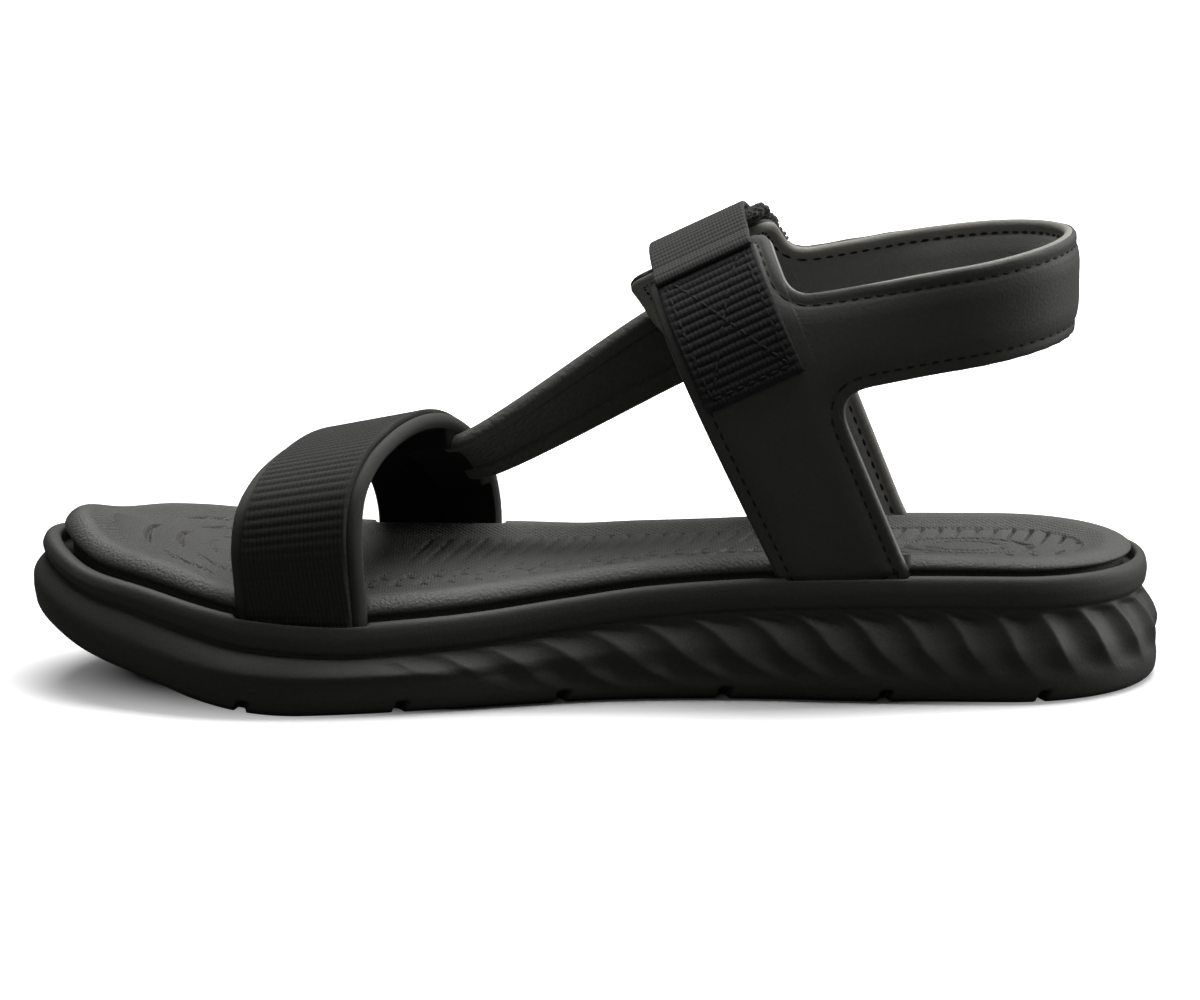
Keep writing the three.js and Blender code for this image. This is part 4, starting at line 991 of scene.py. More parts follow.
def strip(name, place, along_u, across_v, low, high, relief=None, under=None):
    """A closed strip on the surface place(u, v, w) between the heights low and high."""
    (u, u_full), (v, v_full) = along_u, across_v
    u, v = np.meshgrid(u, v, indexing="ij")
    full = u_full[:, None] * v_full
    low = low(u) if callable(low) else low
    high = high(u) if callable(high) else high
    middle, half = (low + high) / 2, (high - low) / 2 * full
    above = middle + half + (relief(u, v) * full if relief else 0)
    below = middle - half - (under(u, v) * full if under else 0)
    points = np.concatenate([place(u, v, above).reshape(-1, 3), place(u, v, below).reshape(-1, 3)])
    uv = np.tile(np.stack([u, v], -1).reshape(-1, 2), (2, 1)) * MM
    return add_mesh(name, points, skin_faces(*u.shape), uv)


print("a strip's margin:", margins(0.0, 10.0, 1, 1.0, 2)[0].round(2))


# %% Shell helpers
def edge_distance(flat, edge):
    """The distance of every flat point from the pattern's edge."""
    parts = np.array_split(flat, max(1, len(flat) // 3000))
    near = [np.sqrt(((part[:, None] - edge[None]) ** 2).sum(-1).min(1)) for part in parts]
    return np.concatenate(near)


def merged_blocks(margin, leg_end):
    """The pattern's blocks as one mesh: flat points, quads and the border's directed edges."""
    blocks = pattern_blocks(margin, leg_end)
    flat = np.concatenate([block.reshape(-1, 2) for block in blocks])
    first = np.cumsum([0] + [block.shape[0] * block.shape[1] for block in blocks])
    turned_over = (1, -1, -1, 1)
    parts = zip(blocks, first, turned_over)
    quads = [grid_faces(*block.shape[:2], first=f)[:, ::step] for block, f, step in parts]
    keys, index = np.unique(np.round(flat, 3), axis=0, return_inverse=True)
    quads = index.reshape(-1)[np.concatenate(quads)]
    a, b, c = keys[quads[:, 0]], keys[quads[:, 1]], keys[quads[:, 2]]
    ab, ac = b - a, c - a
    turned_right = ab[:, 0] * ac[:, 1] < ab[:, 1] * ac[:, 0]
    quads = np.where(turned_right[:, None], quads[:, ::-1], quads)
    edges = np.stack([quads, np.roll(quads, -1, 1)], -1).reshape(-1, 2)
    code = edges[:, 0] * len(keys) + edges[:, 1]
    back = edges[:, 1] * len(keys) + edges[:, 0]
    return keys, quads, edges[~np.isin(code, back)]


def shell(name, margin, leg_end, low, high):
    """A closed shell over the pattern between low(distance) and high(distance)."""
    flat, quads, border = merged_blocks(margin, leg_end)
    away = edge_distance(flat, pattern_edge)
    points = np.concatenate([fold(flat, high(away)), fold(flat, low(away))])
    size = len(flat)
    band = np.stack([border[:, 1], border[:, 0], border[:, 0] + size, border[:, 1] + size], -1)
    uv = np.tile(flat, (2, 1)) * MM
    return add_mesh(name, points, np.concatenate([quads, size + quads[:, ::-1], band]), uv)


closed_edge = np.vstack([pattern_edge, pattern_edge[:1]])
closed_inward = np.vstack([pattern_inward, pattern_inward[:1]])
loop_step = np.linalg.norm(np.diff(closed_edge, axis=0), axis=1)
loop_place = np.concatenate([[0], np.cumsum(loop_step)])
print("pattern edge", round(loop_place[-1]), "mm round")


def on_edge(s, inset):
    """A flat point s along the pattern's edge, drawn in by inset."""
    read = lambda values: np.stack([np.interp(s, loop_place, values[:, k]) for k in (0, 1)], -1)
    return read(closed_edge) + read(closed_inward) * np.asarray(inset)[..., None]


# %% Stitch helper
THREAD_HALF = 0.36


def stitches(name, place, starts, length, height, width=THREAD_HALF):
    """Short rounded threads; place(s, across, up) puts a thread's local point on its seam."""
    share = np.linspace(-1, 1, 6)
    thick = np.sqrt(1.02 - share**2)
    round_turn = np.linspace(0, 2 * np.pi, 6, endpoint=False)
    s = starts[:, None, None] + share[:, None] * length / 2 + 0 * round_turn
    across = width * thick[:, None] * np.cos(round_turn) + 0 * s
    up = height + 0.26 * thick[:, None] * np.sin(round_turn) + 0 * s
    points = place(s, across, up).reshape(-1, 3)
    size = len(share) * len(round_turn)
    one_thread = grid_faces(len(share), len(round_turn), close_columns=True)
    cap = np.array([[0, 1, 2, 3], [0, 3, 4, 5]])
    one_thread = np.concatenate([one_thread, cap, size - 1 - cap])
    first = size * np.arange(len(starts))[:, None, None]
    return add_mesh(name, points, (first + one_thread).reshape(-1, 4))


print("threads are", 2 * THREAD_HALF, "mm wide")

# %% [markdown]
# ## The forefoot strap
# A smooth lining tube carries a ribbed webbing sewn on top. The tube's rear margin is a fatter
# bead than its front margin. The webbing's ribs run across it, 1.8 mm apart. They are in the
# mesh, because bump alone would leave the webbing's outline straight.

# %% Ribs and beads
RIB_PITCH, RIB_HEIGHT = 1.8, 0.3
REAR_BEAD, FRONT_BEAD = (12.5, 1.3, 0.6), (-12.3, 1.5, 0.4)


def ribs(u, pitch=RIB_PITCH, height=RIB_HEIGHT):
    """Round cords side by side: |cos| of the phase, with sharp valleys between."""
    return height * (np.abs(np.cos(np.pi * u / pitch)) ** 0.8 - 0.6)


def sleeve_beads(u, v):
    """A half ellipse along each margin: height * sqrt(1 - ((v - centre) / half width)^2)."""
    total = 0.0
    for centre, half_bead, height in (REAR_BEAD, FRONT_BEAD):
        total = total + height * np.sqrt(np.clip(1 - ((v - centre) / half_bead) ** 2, 0, 1))
    return total


def webbing_weave(u, v):
    """Ribs across the tape and a slight swell of both selvedges."""
    selvedge = smooth(np.abs(v - FOREFOOT_SHIFT), 9.6, 10.4)
    return ribs(u) * (1 - 0.7 * selvedge) + 0.12 * selvedge


print("ribs", RIB_PITCH, "mm apart")

# %% Forefoot strap
half = FOREFOOT_WIDTH / 2
sleeve_half = SLEEVE_THICKNESS / 2
forefoot_sleeve = strip(
    "forefoot_lining_tube", on_forefoot,
    margins(0.6, foot_path.length - 0.6, 220, 1.0, 3), margins(-half, half, 64, 1.6, 8),
    -sleeve_half, sleeve_half, sleeve_beads,
)
tucked_start, tucked_end = lateral_place(INSTEP_UPPER) - 2.0, lateral_place(INSTEP_LOWER) + 2.0


def shade_over_strap_end(u, v):
    """The painted-shade sheet swells where it covers the instep strap's sewn end, in the shade under the
    arch.
    """
    beside = smooth(u, tucked_start - 4, tucked_start) * (1 - smooth(u, tucked_end, tucked_end + 4))
    return 3.7 * beside * smooth(v, -1.0, 3.5)


# Painted shade: a near-black sheet on the forefoot strap's inner face stands for the shade under the
# arch.
forefoot_painted_shade = strip(
    "forefoot_underside_painted_shade", on_forefoot,
    margins(1.2, foot_path.length - 1.2, 220, 0.6, 2), margins(-half + 0.9, half - 0.7, 40, 0.5, 3),
    -sleeve_half - 0.12, -sleeve_half + 0.2, None, shade_over_strap_end,
)
webbing_half = FOREFOOT_WEBBING_WIDTH / 2
forefoot_webbing = strip(
    "forefoot_webbing_tape", on_forefoot,
    margins(0.8, foot_path.length - 0.8, 620, 0.5, 2),
    margins(FOREFOOT_SHIFT - webbing_half, FOREFOOT_SHIFT + webbing_half, 26, 0.6, 4),
    sleeve_half + 0.05, sleeve_half + CLEARANCE + WEBBING_THICKNESS, webbing_weave,
)

# %% [markdown]
# ## The instep strap
# A bound tube runs from inside the forefoot strap to the tab on the outer side. Both margins are
# turned and sewn, which leaves two darker bands with seams beside a pebbled middle. The webbing
# on its outer face is sewn to the tab.

# %% Instep strap
def bound_edges(u, v):
    """A step down at each seam, and a bell-shaped seam line in it."""
    step = smooth(v, 5.5, 6.1) * (1 - smooth(v, STRAP_WIDTH - 5.1, STRAP_WIDTH - 4.5))
    seam = cut(v - 5.8, 0.4) + cut(v - STRAP_WIDTH + 4.8, 0.4)
    pebbles = np.sin(u * 310) * np.sin(v * 2.9 + 1.3 * np.sin(u * 95))
    return -0.5 * step - 0.5 * seam + 0.2 + 0.05 * pebbles * step


strap_half = STRAP_THICKNESS / 2
instep_tube = strip(
    "instep_strap_tube", on_strap,
    margins(0.0, 1.0, 420, 0.012, 4), margins(0.0, STRAP_WIDTH, 84, 1.5, 7),
    -strap_half, strap_half, bound_edges, bound_edges,
)
strap_shares = np.linspace(0, 1, 800)
middle_line = strap_surface(strap_shares, 0.5 + 0 * strap_shares)
line_steps = np.linalg.norm(np.diff(middle_line, axis=0), axis=1)
line_length = np.concatenate([[0], np.cumsum(line_steps)])
print("instep strap", round(line_length[-1], 1), "mm long")
instep_webbing = strip(
    "instep_webbing_tape", on_strap,
    margins(0.57, 0.985, 300, 0.006, 3), margins(3.0, STRAP_WIDTH - 3.0, 40, 0.6, 4),
    strap_half - 0.1, strap_half + 1.3,
    lambda u, v: ribs(np.interp(u, strap_shares, line_length), RIB_PITCH, 0.28),
)

# %% [markdown]
# ## The padded quarter and heel band
# Foam lies between a dark outer skin and a soft lining. Both skins swell from a sewn channel
# near the edge, and a light foam edge shows all round between them. A skin's height depends only
# on how far a point is from the pattern's edge, which draws the channel all round at once.

# %% Skin heights
STITCH_PITCH, STITCH_INSET, CHANNEL_WIDTH = 2.9, 3.1, 0.55
LINING_INSET, STITCH_LENGTH, STITCH_LIFT = 1.7, 2.0, 0.05


def outer_height(away):
    """A rounded edge and a long swell, less a bell-shaped channel along the stitches."""
    channel = cut(away - STITCH_INSET, CHANNEL_WIDTH)
    rounded = 0.75 * np.sqrt(np.clip(1 - (1 - np.clip(away - 0.25, 0, 1.0)) ** 2, 0, 1))
    return 0.6 + rounded + 0.85 * smooth(away, 1.0, 7.5) - 0.42 * channel


def lining_height(away):
    """The lining's face below the foam: a swell and a shallower channel."""
    channel = cut(away - STITCH_INSET, CHANNEL_WIDTH)
    return -1.2 - 0.85 * smooth(away, 0.8, 7.5) + 0.3 * channel


print("band", round(float(outer_height(9.0) - lining_height(9.0)), 1), "mm thick")

# %% Quarter and heel band
leg_end = SLOT_DEPTH - 0.3
quarter_skin = shell("quarter_outer_skin", 0.3, leg_end, lambda d: 0.1 + 0 * d, outer_height)
quarter_lining = shell(
    "quarter_soft_lining", LINING_INSET, leg_end, lining_height, lambda d: -0.15 + 0 * d
)
roll_turn = np.linspace(0, 2 * np.pi, 16, endpoint=False)
roll_inset = 1.3 - 1.3 * np.cos(roll_turn)[None] + 0 * pattern_edge[:, :1]
roll_flat = pattern_edge[:, None] + pattern_inward[:, None] * roll_inset[..., None]
roll_points = fold(roll_flat, 1.2 * np.sin(roll_turn)[None] - 0.45 + 0 * roll_inset)
quarter_foam = add_mesh(
    "quarter_foam_edge", roll_points,
    grid_faces(len(pattern_edge), len(roll_turn), close_rows=True, close_columns=True),
)

# %% Quarter stitches
starts = np.arange(0, loop_place[-1] - 1, STITCH_PITCH)
outer_stitches = stitches(
    "quarter_outer_stitches",
    lambda s, across, up: fold(on_edge(s, STITCH_INSET + across), outer_height(STITCH_INSET) + up),
    starts, STITCH_LENGTH, STITCH_LIFT,
)
lining_stitches = stitches(
    "quarter_lining_stitches",
    lambda s, across, up: fold(on_edge(s, STITCH_INSET + across), lining_height(STITCH_INSET) - up),
    starts, STITCH_LENGTH, STITCH_LIFT,
)

# %% [markdown]
# ## The closure
# A ribbed webbing patch is sewn to the inner quarter by a border of stitches and a cross. The
# webbing goes on over the instep as a flap. Hook tape under the flap meets loop tape on the
# outer side of the quarter. All of these are strips on the ankle arch. They differ in their
# height w above it, so that the layers lie on one another.

# %% Closure patch
PATCH_END, FLAP_START = -13.4, -16.2
OVER_TAPES = 5.15
HOOK_TAPE, LOOP_TAPE = (3.85, 4.85), (2.35, 3.5)
TAPE_HALF = 11.5
closure_low = CLOSURE_SHIFT - CLOSURE_WIDTH / 2
closure_high = CLOSURE_SHIFT + CLOSURE_WIDTH / 2
anchor_floor = STACK / 2 + CLEARANCE
anchor_top = anchor_floor + WEBBING_THICKNESS


def patch_weave(u, v):
    """Ribs that fade at both selvedges."""
    border = smooth(np.abs(v - CLOSURE_SHIFT), 10.6, 11.3)
    return ribs(u, 1.9, 0.42) * (1 - 0.75 * border)


closure_patch = strip(
    "closure_webbing_patch", on_ankle,
    margins(-ANCHOR_END, PATCH_END, 260, 0.7, 4), margins(closure_low, closure_high, 40, 0.7, 5),
    anchor_floor - 0.15, anchor_top, patch_weave,
)


# %% Closure flap
def flap_floor(reach):
    """The flap's underside: over the patch's end, down to the quarter, then up over the tapes."""
    over_patch = mix(anchor_top + 0.05, anchor_floor, smooth(reach, -14.5, -9.5))
    return np.maximum(over_patch, mix(anchor_floor, OVER_TAPES, smooth(reach, -13.0, 11.0)))


flap_webbing = strip(
    "closure_webbing_flap", on_ankle,
    margins(FLAP_START, FLAP_END, 560, 0.7, 4), margins(closure_low, closure_high, 34, 0.7, 5),
    flap_floor, lambda u: flap_floor(u) + WEBBING_THICKNESS,
    lambda u, v: ribs(u, 1.5, 0.22),
)

# %% Hook and loop tapes
tape_low, tape_high = CLOSURE_SHIFT - TAPE_HALF, CLOSURE_SHIFT + TAPE_HALF


def tape_fuzz(u, v):
    """Uneven tufts: a product of two sines, one of them bent by a third."""
    return 0.07 * np.sin(u * 5.1 + 2 * np.sin(v * 3.3)) * np.sin(v * 4.7 + u)


hook_tape = strip(
    "closure_hook_tape", on_ankle, margins(20.0, 57.0, 110, 0.4, 3),
    margins(tape_low, tape_high, 70, 0.4, 3), *HOOK_TAPE, None, tape_fuzz,
)
loop_tape = strip(
    "closure_loop_tape", on_ankle, margins(12.0, 64.0, 150, 0.5, 3),
    margins(tape_low, tape_high, 70, 0.5, 3), *LOOP_TAPE, tape_fuzz,
)


# %% Loop fringe
def fringe_edge(u, v, w):
    """The loop tape's frayed rear margin: short threads of uneven length."""
    ragged = 0.9 * np.sin(u * 3.7) + 0.6 * np.sin(u * 8.3 + 1.2)
    reach = smooth(v, tape_high, tape_high + 3.5)
    return on_ankle(u, v + reach * ragged, w)


loop_fringe = strip(
    "closure_loop_fringe", fringe_edge, margins(-6.0, 36.0, 260, 0.5, 3),
    margins(tape_high - 4.0, tape_high + 3.6, 24, 0.5, 3), 2.2,
    lambda u: 3.7 + 0.35 * np.sin(u * 6.1), lambda u, v: 0.3 * np.sin(u * 7.0) * np.sin(v * 5.0),
)

# %% Patch stitches
SEAM_MARGIN, SEAM_LENGTH, SEAM_PITCH = 2.4, 30.0, 2.6
THREAD_KEY = 100.0
seam_v = (closure_low + SEAM_MARGIN, closure_high - SEAM_MARGIN)
seam_u = (-ANCHOR_END + SEAM_MARGIN, -ANCHOR_END + SEAM_MARGIN + SEAM_LENGTH)


def seam_line(start, end):
    """Where threads lie on a straight seam of the patch: their places and directions."""
    start, end = np.array(start), np.array(end)
    length = np.linalg.norm(end - start)
    count = int(length / SEAM_PITCH)
    share = (np.arange(count) + 0.5) / count
    return mix(start, end, share[:, None]), np.tile((end - start) / length, (count, 1))


corners = [(seam_u[i], seam_v[j]) for i, j in ((0, 0), (1, 0), (1, 1), (0, 1))]
seams = [seam_line(corners[k], corners[(k + 1) % 4]) for k in range(4)]
seams += [seam_line(corners[0], corners[2]), seam_line(corners[1], corners[3])]
seam_places, seam_ways = (np.concatenate(parts) for parts in zip(*seams))


def on_patch_seam(s, across, up):
    """The number of a thread is s / THREAD_KEY rounded; the rest of s is a place along it."""
    number = np.round(s / THREAD_KEY).astype(int)
    local = s - number * THREAD_KEY
    way = seam_ways[number]
    u = seam_places[number, 0] + way[..., 0] * local - way[..., 1] * across
    v = seam_places[number, 1] + way[..., 1] * local + way[..., 0] * across
    return on_ankle(u, v, anchor_top + up)


patch_stitches = stitches(
    "closure_patch_stitches", on_patch_seam, THREAD_KEY * np.arange(len(seam_places)), 2.1, 0.02
)

# %% [markdown]
# ## Materials
# The foam is a matt dark grey with pores, the rubber is a little denser, and the fabrics are
# yarns. The patterns are node groups that give a height and a tone; each material turns them
# into bump and colour.

# %% Node helpers
def group_of(name, inputs, outputs):
    """A shader node group with float sockets and one vector; inputs maps names to defaults."""
    group = bpy.data.node_groups.new(name, "ShaderNodeTree")
    group.interface.new_socket("Place", in_out="INPUT", socket_type="NodeSocketVector")
    for label, value in inputs.items():
        socket = group.interface.new_socket(label, in_out="INPUT", socket_type="NodeSocketFloat")
        socket.default_value = value
    for label in outputs:
        group.interface.new_socket(label, in_out="OUTPUT", socket_type="NodeSocketFloat")
    return group, group.nodes.new("NodeGroupInput"), group.nodes.new("NodeGroupOutput")


def put(tree, kind, links=(), **settings):
    """A node with its settings, and its inputs linked or set from (socket, value) pairs."""
    node = tree.nodes.new(kind)
    for key, value in settings.items():
        setattr(node, key, value)
    for socket, value in links:
        if isinstance(value, bpy.types.NodeSocket):
            tree.links.new(value, node.inputs[socket])
        else:
            node.inputs[socket].default_value = value
    return node


def maths(tree, operation, *values):
    """The result of one operation on sockets or numbers."""
    return put(tree, "ShaderNodeMath", list(enumerate(values)), operation=operation).outputs[0]


def noise(tree, place, scale, detail):
    """A noise texture's value, about 1/2 on average."""
    links = [("Vector", place), ("Scale", scale), ("Detail", detail)]
    return put(tree, "ShaderNodeTexNoise", links).outputs[0]


def swing(tree, value, amount):
    """(value - 1/2) * amount."""
    return maths(tree, "MULTIPLY", maths(tree, "SUBTRACT", value, 0.5), amount)


def length_of(tree, vector):
    """The length of a vector."""
    return put(tree, "ShaderNodeVectorMath", [(0, vector)], operation="LENGTH").outputs["Value"]


print("node groups before the patterns:", len(bpy.data.node_groups))

# %% [markdown]
# ## Patterns
# Noise and waves need no image files, and they stay sharp at any distance. The foam's grain is
# noise, the footbed's knurl is two families of slanted lines, and the webbing's yarn is a wave
# with fibres.


# %% Pattern groups
def grain_group():
    """Fine pores over a slow unevenness."""
    inputs = {"Scale": 900.0, "Unevenness": 0.4}
    group, inside, outside = group_of("foam grain", inputs, ["Height", "Tone"])
    place = inside.outputs["Place"]
    pores = noise(group, place, inside.outputs["Scale"], 3.0)
    slow = noise(group, place, 38.0, 2.0)
    group.links.new(pores, outside.inputs["Height"])
    spread = swing(group, slow, inside.outputs["Unevenness"])
    tone = maths(group, "ADD", maths(group, "ADD", spread, swing(group, pores, 0.35)), 1.0)
    group.links.new(tone, outside.inputs["Tone"])
    return group


def knurl_group():
    """Two families of slanted lines that cross as small diamonds."""
    group, inside, outside = group_of("footbed knurl", {"Pitch": 0.0016}, ["Height"])
    split = put(group, "ShaderNodeSeparateXYZ", [("Vector", inside.outputs["Place"])])
    rate = maths(group, "DIVIDE", np.pi, inside.outputs["Pitch"])
    waves = []
    for sign in ("ADD", "SUBTRACT"):
        slant = maths(group, sign, split.outputs[0], split.outputs[1])
        wave = maths(group, "SINE", maths(group, "MULTIPLY", slant, rate))
        waves.append(maths(group, "ABSOLUTE", wave))
    group.links.new(maths(group, "MINIMUM", *waves), outside.inputs["Height"])
    return group


def yarn_group():
    """Twisted yarns: a wave across the ribs and noise drawn out along them."""
    inputs = {"Pitch": 0.0009, "Fuzz": 0.5}
    group, inside, outside = group_of("webbing yarn", inputs, ["Height", "Tone"])
    split = put(group, "ShaderNodeSeparateXYZ", [("Vector", inside.outputs["Place"])])
    rate = maths(group, "DIVIDE", 2 * np.pi, inside.outputs["Pitch"])
    slant = maths(group, "ADD", split.outputs[1], maths(group, "MULTIPLY", split.outputs[0], 0.06))
    wave = maths(group, "SINE", maths(group, "MULTIPLY", slant, rate))
    fibre = noise(group, inside.outputs["Place"], 2600.0, 2.0)
    fuzz = swing(group, fibre, inside.outputs["Fuzz"])
    half_wave, faint_wave = (maths(group, "MULTIPLY", wave, share) for share in (0.5, 0.12))
    height = maths(group, "ADD", half_wave, maths(group, "MULTIPLY", fuzz, 1.6))
    group.links.new(height, outside.inputs["Height"])
    tone = maths(group, "ADD", faint_wave, maths(group, "ADD", fuzz, 1.0))
    group.links.new(tone, outside.inputs["Tone"])
    return group


grain, knurl, yarn = grain_group(), knurl_group(), yarn_group()
print("pattern groups", [group.name for group in (grain, knurl, yarn)])


# %% Material helper
def pattern_node(tree, pattern, place, settings):
    """A node that holds one pattern group, with its place linked and its settings made."""
    node = put(tree, "ShaderNodeGroup", node_tree=pattern)
    tree.links.new(place, node.inputs["Place"])
    for key, value in settings.items():
        node.inputs[key].default_value = value
    return node


def material(
    name, colour, roughness, pattern, settings, bump, distance,
    place="Object", sheen=0.0, specular=0.5, second=None,
):
    """A Principled material whose colour and bump come from one pattern group, or from two.

    second gives another pattern, its settings and a share that is multiplied by the UV map's u.
    """
    made = bpy.data.materials.new(name)
    made.use_nodes = True
    tree = made.node_tree
    shader = tree.nodes["Principled BSDF"]
    coordinates = put(tree, "ShaderNodeTexCoord")
    where = coordinates.outputs[place]
    node = pattern_node(tree, pattern, where, settings)
    links = [(0, colour), (1, node.outputs["Tone"])]
    tone = put(tree, "ShaderNodeVectorMath", links, operation="MULTIPLY")
    tree.links.new(tone.outputs[0], shader.inputs["Base Color"])
    height = node.outputs["Height"]
    if second:
        other_pattern, other_settings, share = second
        other = pattern_node(tree, other_pattern, where, other_settings)
        split = put(tree, "ShaderNodeSeparateXYZ", [("Vector", coordinates.outputs["UV"])])
        amount = maths(tree, "MULTIPLY", split.outputs[0], share)
        more = maths(tree, "MULTIPLY", other.outputs["Height"], amount)
        height = maths(tree, "ADD", height, more)
    links = [("Strength", bump), ("Distance", distance), ("Height", height)]
    tree.links.new(put(tree, "ShaderNodeBump", links).outputs[0], shader.inputs["Normal"])
    shader.inputs["Roughness"].default_value = roughness
    shader.inputs["Sheen Weight"].default_value = sheen
    shader.inputs["Sheen Roughness"].default_value = 0.6
    shader.inputs["Specular IOR Level"].default_value = specular
    return made


def fine(scale, unevenness=0.3):
    """The grain's settings."""
    return {"Scale": scale, "Unevenness": unevenness}


def yarns(pitch):
    """The yarn's settings."""
    return {"Pitch": pitch, "Fuzz": 0.7}


print("a material's inputs: colour, roughness, pattern, its settings, bump and distance")

# %% Materials
foam = material(
    "midsole foam", (0.062, 0.063, 0.055), 0.62, grain, fine(1500.0), 0.35, 0.0002, specular=0.35
)
rubber = material(
    "outsole rubber", (0.055, 0.056, 0.049), 0.58, grain, fine(1100.0), 0.35, 0.0002, specular=0.35
)
bed = material(
    "footbed foam", (0.095, 0.095, 0.088), 0.55, grain, fine(1500.0), 0.8, 0.0004,
    specular=0.4, second=(knurl, {"Pitch": 0.0014}, 0.9),
)
lining_tube = material(
    "smooth lining", (0.056, 0.057, 0.05), 0.8, grain, fine(2200.0), 0.4, 0.00015,
    sheen=0.06, specular=0.35,
)
# Painted shade: a near-black colour for the sheet under the forefoot strap, where shade falls.
painted_shade_underside = material(
    "strap underside painted shade", (0.012, 0.012, 0.011), 0.9, grain, fine(1800.0), 0.4, 0.0002, specular=0.15
)
strap_tube = material(
    "binding", (0.055, 0.057, 0.049), 0.78, grain, fine(900.0, 0.5), 0.8, 0.0006, sheen=0.1
)
tape = material(
    "webbing", (0.036, 0.037, 0.034), 0.85, yarn, yarns(0.0009), 0.7, 0.00018,
    place="UV", sheen=0.06, specular=0.3,
)
patch_tape = material(
    "patch webbing", (0.026, 0.027, 0.026), 0.85, yarn, yarns(0.0011), 0.5, 0.00015,
    place="UV", sheen=0.03, specular=0.25,
)
flap_tape = material(
    "flap webbing", (0.04, 0.04, 0.038), 0.85, yarn, yarns(0.0008), 0.5, 0.00015,
    place="UV", sheen=0.08, specular=0.3,
)
hooks = material(
    "hook and loop", (0.03, 0.03, 0.028), 0.9, grain, fine(2400.0, 0.5), 0.9, 0.0006,
    place="UV", sheen=0.2,
)
leather = material(
    "quarter leather", (0.072, 0.074, 0.067), 0.62, grain, fine(1400.0), 0.45, 0.0002, specular=0.4
)
soft = material(
    "soft lining", (0.25, 0.25, 0.232), 0.85, grain, fine(1900.0), 0.6, 0.00025, sheen=0.3
)
foam_edge = material(
    "light foam edge", (0.3, 0.292, 0.262), 0.8, grain, fine(1300.0, 0.5), 0.5, 0.0003
)
thread = material("dark thread", (0.02, 0.02, 0.019), 0.85, grain, fine(3000.0), 0.3, 0.0001)
print("materials", len(bpy.data.materials))

# %% [markdown]
# ## Pieces in the frame
# Each piece rides a body of the model and stands for the plain solids it covers. The flap's
# webbing is sewn down at one end and free at the other; it rides no body, and its place is baked in.

# %% Ride and replace
PIECES = [
    (outsole, "sandal", rubber, "outsole", ["outsole"]),
    (midsole, "sandal", foam, "midsole", ["midsole", "shank"]),
    (footbed, "sandal", bed, "footbed", ["footbed"]),
    (forefoot_sleeve, "sandal", lining_tube, "forefoot_sleeve", ["forefoot_sleeve", "forefoot_padding"]),
    (forefoot_painted_shade, "sandal", painted_shade_underside, "forefoot_sleeve", []),
    (forefoot_webbing, "sandal", tape, "forefoot_webbing", ["forefoot_webbing"]),
    (instep_tube, "sandal", strap_tube, "instep_sleeve", ["instep_sleeve", "instep_padding"]),
    (instep_webbing, "sandal", tape, "instep_webbing", ["instep_webbing"]),
    (quarter_skin, "sandal", leather, "quarter_outer", ["quarter_outer"]),
    (quarter_lining, "sandal", soft, "quarter_lining", ["quarter_lining"]),
    (quarter_foam, "sandal", foam_edge, "quarter_padding", ["quarter_padding"]),
    (outer_stitches, "sandal", thread, "quarter_outer", []),
    (lining_stitches, "sandal", thread, "quarter_lining", []),
    (closure_patch, "sandal", patch_tape, "closure_anchor", ["closure_anchor"]),
    (patch_stitches, "sandal", thread, "closure_stitch", ["closure_stitch"]),
    (loop_tape, "sandal", hooks, "loop_tape", ["loop_tape"]),
    (loop_fringe, "sandal", hooks, "loop_tape", []),
    (hook_tape, "flap", hooks, "hook_tape", ["hook_tape"]),
]
for piece, body, look, slot, nodes in PIECES:
    piece.data.materials.append(look)
    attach(piece, body)
    if nodes:
        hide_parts(*nodes)
flap_webbing.data.materials.append(flap_tape)
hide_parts("closure_flap")
BLEND_REACH, BLEND_HEIGHT = [-16.0, -9.0], 3.0
blend_line = np.full(2, CLOSURE_SHIFT), np.full(2, BLEND_HEIGHT)
blend_ends = on_ankle(np.array(BLEND_REACH), *blend_line) * MM
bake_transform(flap_webbing)
print(len(PIECES) + 1, "pieces in the frame")

# %% [markdown]
# ## The floor
# A plain pale floor has to look white and still take a soft shadow. Its glow is seen only by
# camera rays, so it lights nothing. The glow is weaker near the sole and dark under it: that is a
# painted contact shadow. All other rays meet a dark floor, so the sole's wall isn't lit from below.

# %% Floor helper
COLOUR_A, COLOUR_B = 6, 7


def by_ray(tree, other_rays, camera_rays):
    """A grey for the camera's rays and one for all others, and 1 where the camera looks."""
    is_camera = put(tree, "ShaderNodeLightPath").outputs["Is Camera Ray"]
    greys = [(COLOUR_A, (*[other_rays] * 3, 1)), (COLOUR_B, (*[camera_rays] * 3, 1))]
    shade = put(tree, "ShaderNodeMix", [("Factor", is_camera), *greys], data_type="RGBA")
    return shade.outputs[2], is_camera


print("colour sockets of a mix node:", COLOUR_A, COLOUR_B)

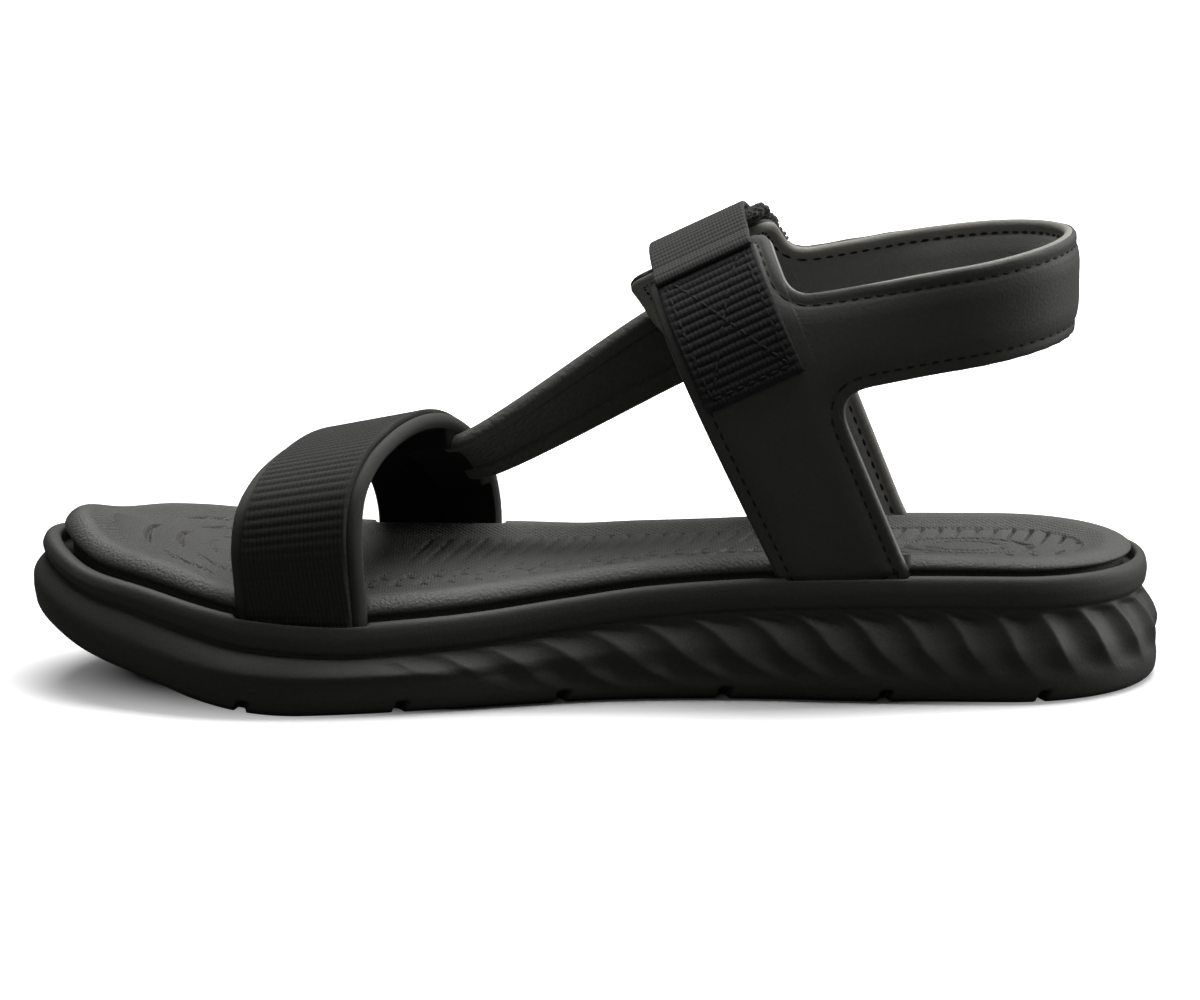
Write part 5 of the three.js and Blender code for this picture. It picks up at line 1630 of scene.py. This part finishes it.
# %% Floor
floor_points = np.array([[-3, -2.2, 0], [3, -2.2, 0], [3, 3, 0], [-3, 3, 0]]) / MM
floor_points[:, 2] = -0.05
floor = add_mesh("floor", floor_points, np.array([[0, 1, 2, 3]]))
ground = bpy.data.materials.new("pale floor")
ground.use_nodes = True
tree = ground.node_tree
floor_shader = tree.nodes["Principled BSDF"]
floor_shader.inputs["Roughness"].default_value = 0.9
floor_shader.inputs["Specular IOR Level"].default_value = 0.0
floor_shader.inputs["Emission Color"].default_value = (1, 1, 1, 1)
floor_grey, is_camera = by_ray(tree, 0.1, 0.9)
tree.links.new(floor_grey, floor_shader.inputs["Base Color"])
centre = put(tree, "ShaderNodeTexCoord").outputs["Object"]
# Painted shade: the glow fades in between 0.17 m and 0.42 m from the centre, so the floor is darker
# round the sandal.
links = [("Value", length_of(tree, centre)), ("From Min", 0.17), ("From Max", 0.42)]
painted_shade_falloff = put(tree, "ShaderNodeMapRange", links).outputs[0]
# Painted contact shadow: no glow inside an ellipse under the sole, rising to 0.6 beyond it.
PAINTED_SHADOW_HALVES = (0.13, 0.045)
scale = (1 / PAINTED_SHADOW_HALVES[0], 1 / PAINTED_SHADOW_HALVES[1], 0.0)
painted_shadow_footprint = put(tree, "ShaderNodeMapping", [("Vector", centre), ("Scale", scale)]).outputs[0]
links = [("Value", length_of(tree, painted_shadow_footprint)), ("From Min", 0.85), ("From Max", 1.25)]
near = put(tree, "ShaderNodeMapRange", [*links, ("To Max", 0.6)]).outputs[0]
glow = maths(tree, "MULTIPLY", maths(tree, "ADD", painted_shade_falloff, near), is_camera)
tree.links.new(glow, floor_shader.inputs["Emission Strength"])
floor.data.materials.append(ground)
print("floor nodes", len(tree.nodes))

# %% [markdown]
# ## The light
# A broad soft light above, slightly behind and to the right, makes the level surfaces much
# brighter than the upright ones. A smaller one lights the heel from the right, and a faint one
# in front opens the darkest folds. The world looks white but gives little light.

# %% Lights and world
def softbox(name, place, aim, size, watts):
    """A rectangular area light at a place in metres, turned to its aim."""
    data = bpy.data.lights.new(name, "AREA")
    data.shape, data.size, data.size_y, data.energy = "RECTANGLE", *size, watts
    lamp = bpy.data.objects.new(name, data)
    lamp.location = place
    away = np.array(place) - np.array(aim)
    away /= np.linalg.norm(away)
    lamp.rotation_euler = (np.arccos(away[2]), 0.0, np.arctan2(away[1], away[0]) + np.pi / 2)
    bpy.context.scene.collection.objects.link(lamp)
    return lamp


softbox("top softbox", (0.15, 0.35, 1.35), (0.0, 0.0, 0.05), (1.5, 1.3), 30.0)
softbox("right softbox", (1.35, 0.35, 0.55), (0.05, 0.0, 0.06), (0.8, 0.8), 11.0)
softbox("front fill", (-0.2, -1.5, 0.9), (0.0, 0.0, 0.05), (1.4, 1.0), 1.0)
world = bpy.data.worlds.new("studio")
bpy.context.scene.world = world
world.use_nodes = True
tree = world.node_tree
world_grey, is_camera = by_ray(tree, 0.035, 1.0)
tree.links.new(world_grey, tree.nodes["Background"].inputs["Color"])
bpy.context.scene.view_settings.view_transform = "Standard"
bpy.context.scene.view_settings.look = "None"
print("lights", len(bpy.data.lights))
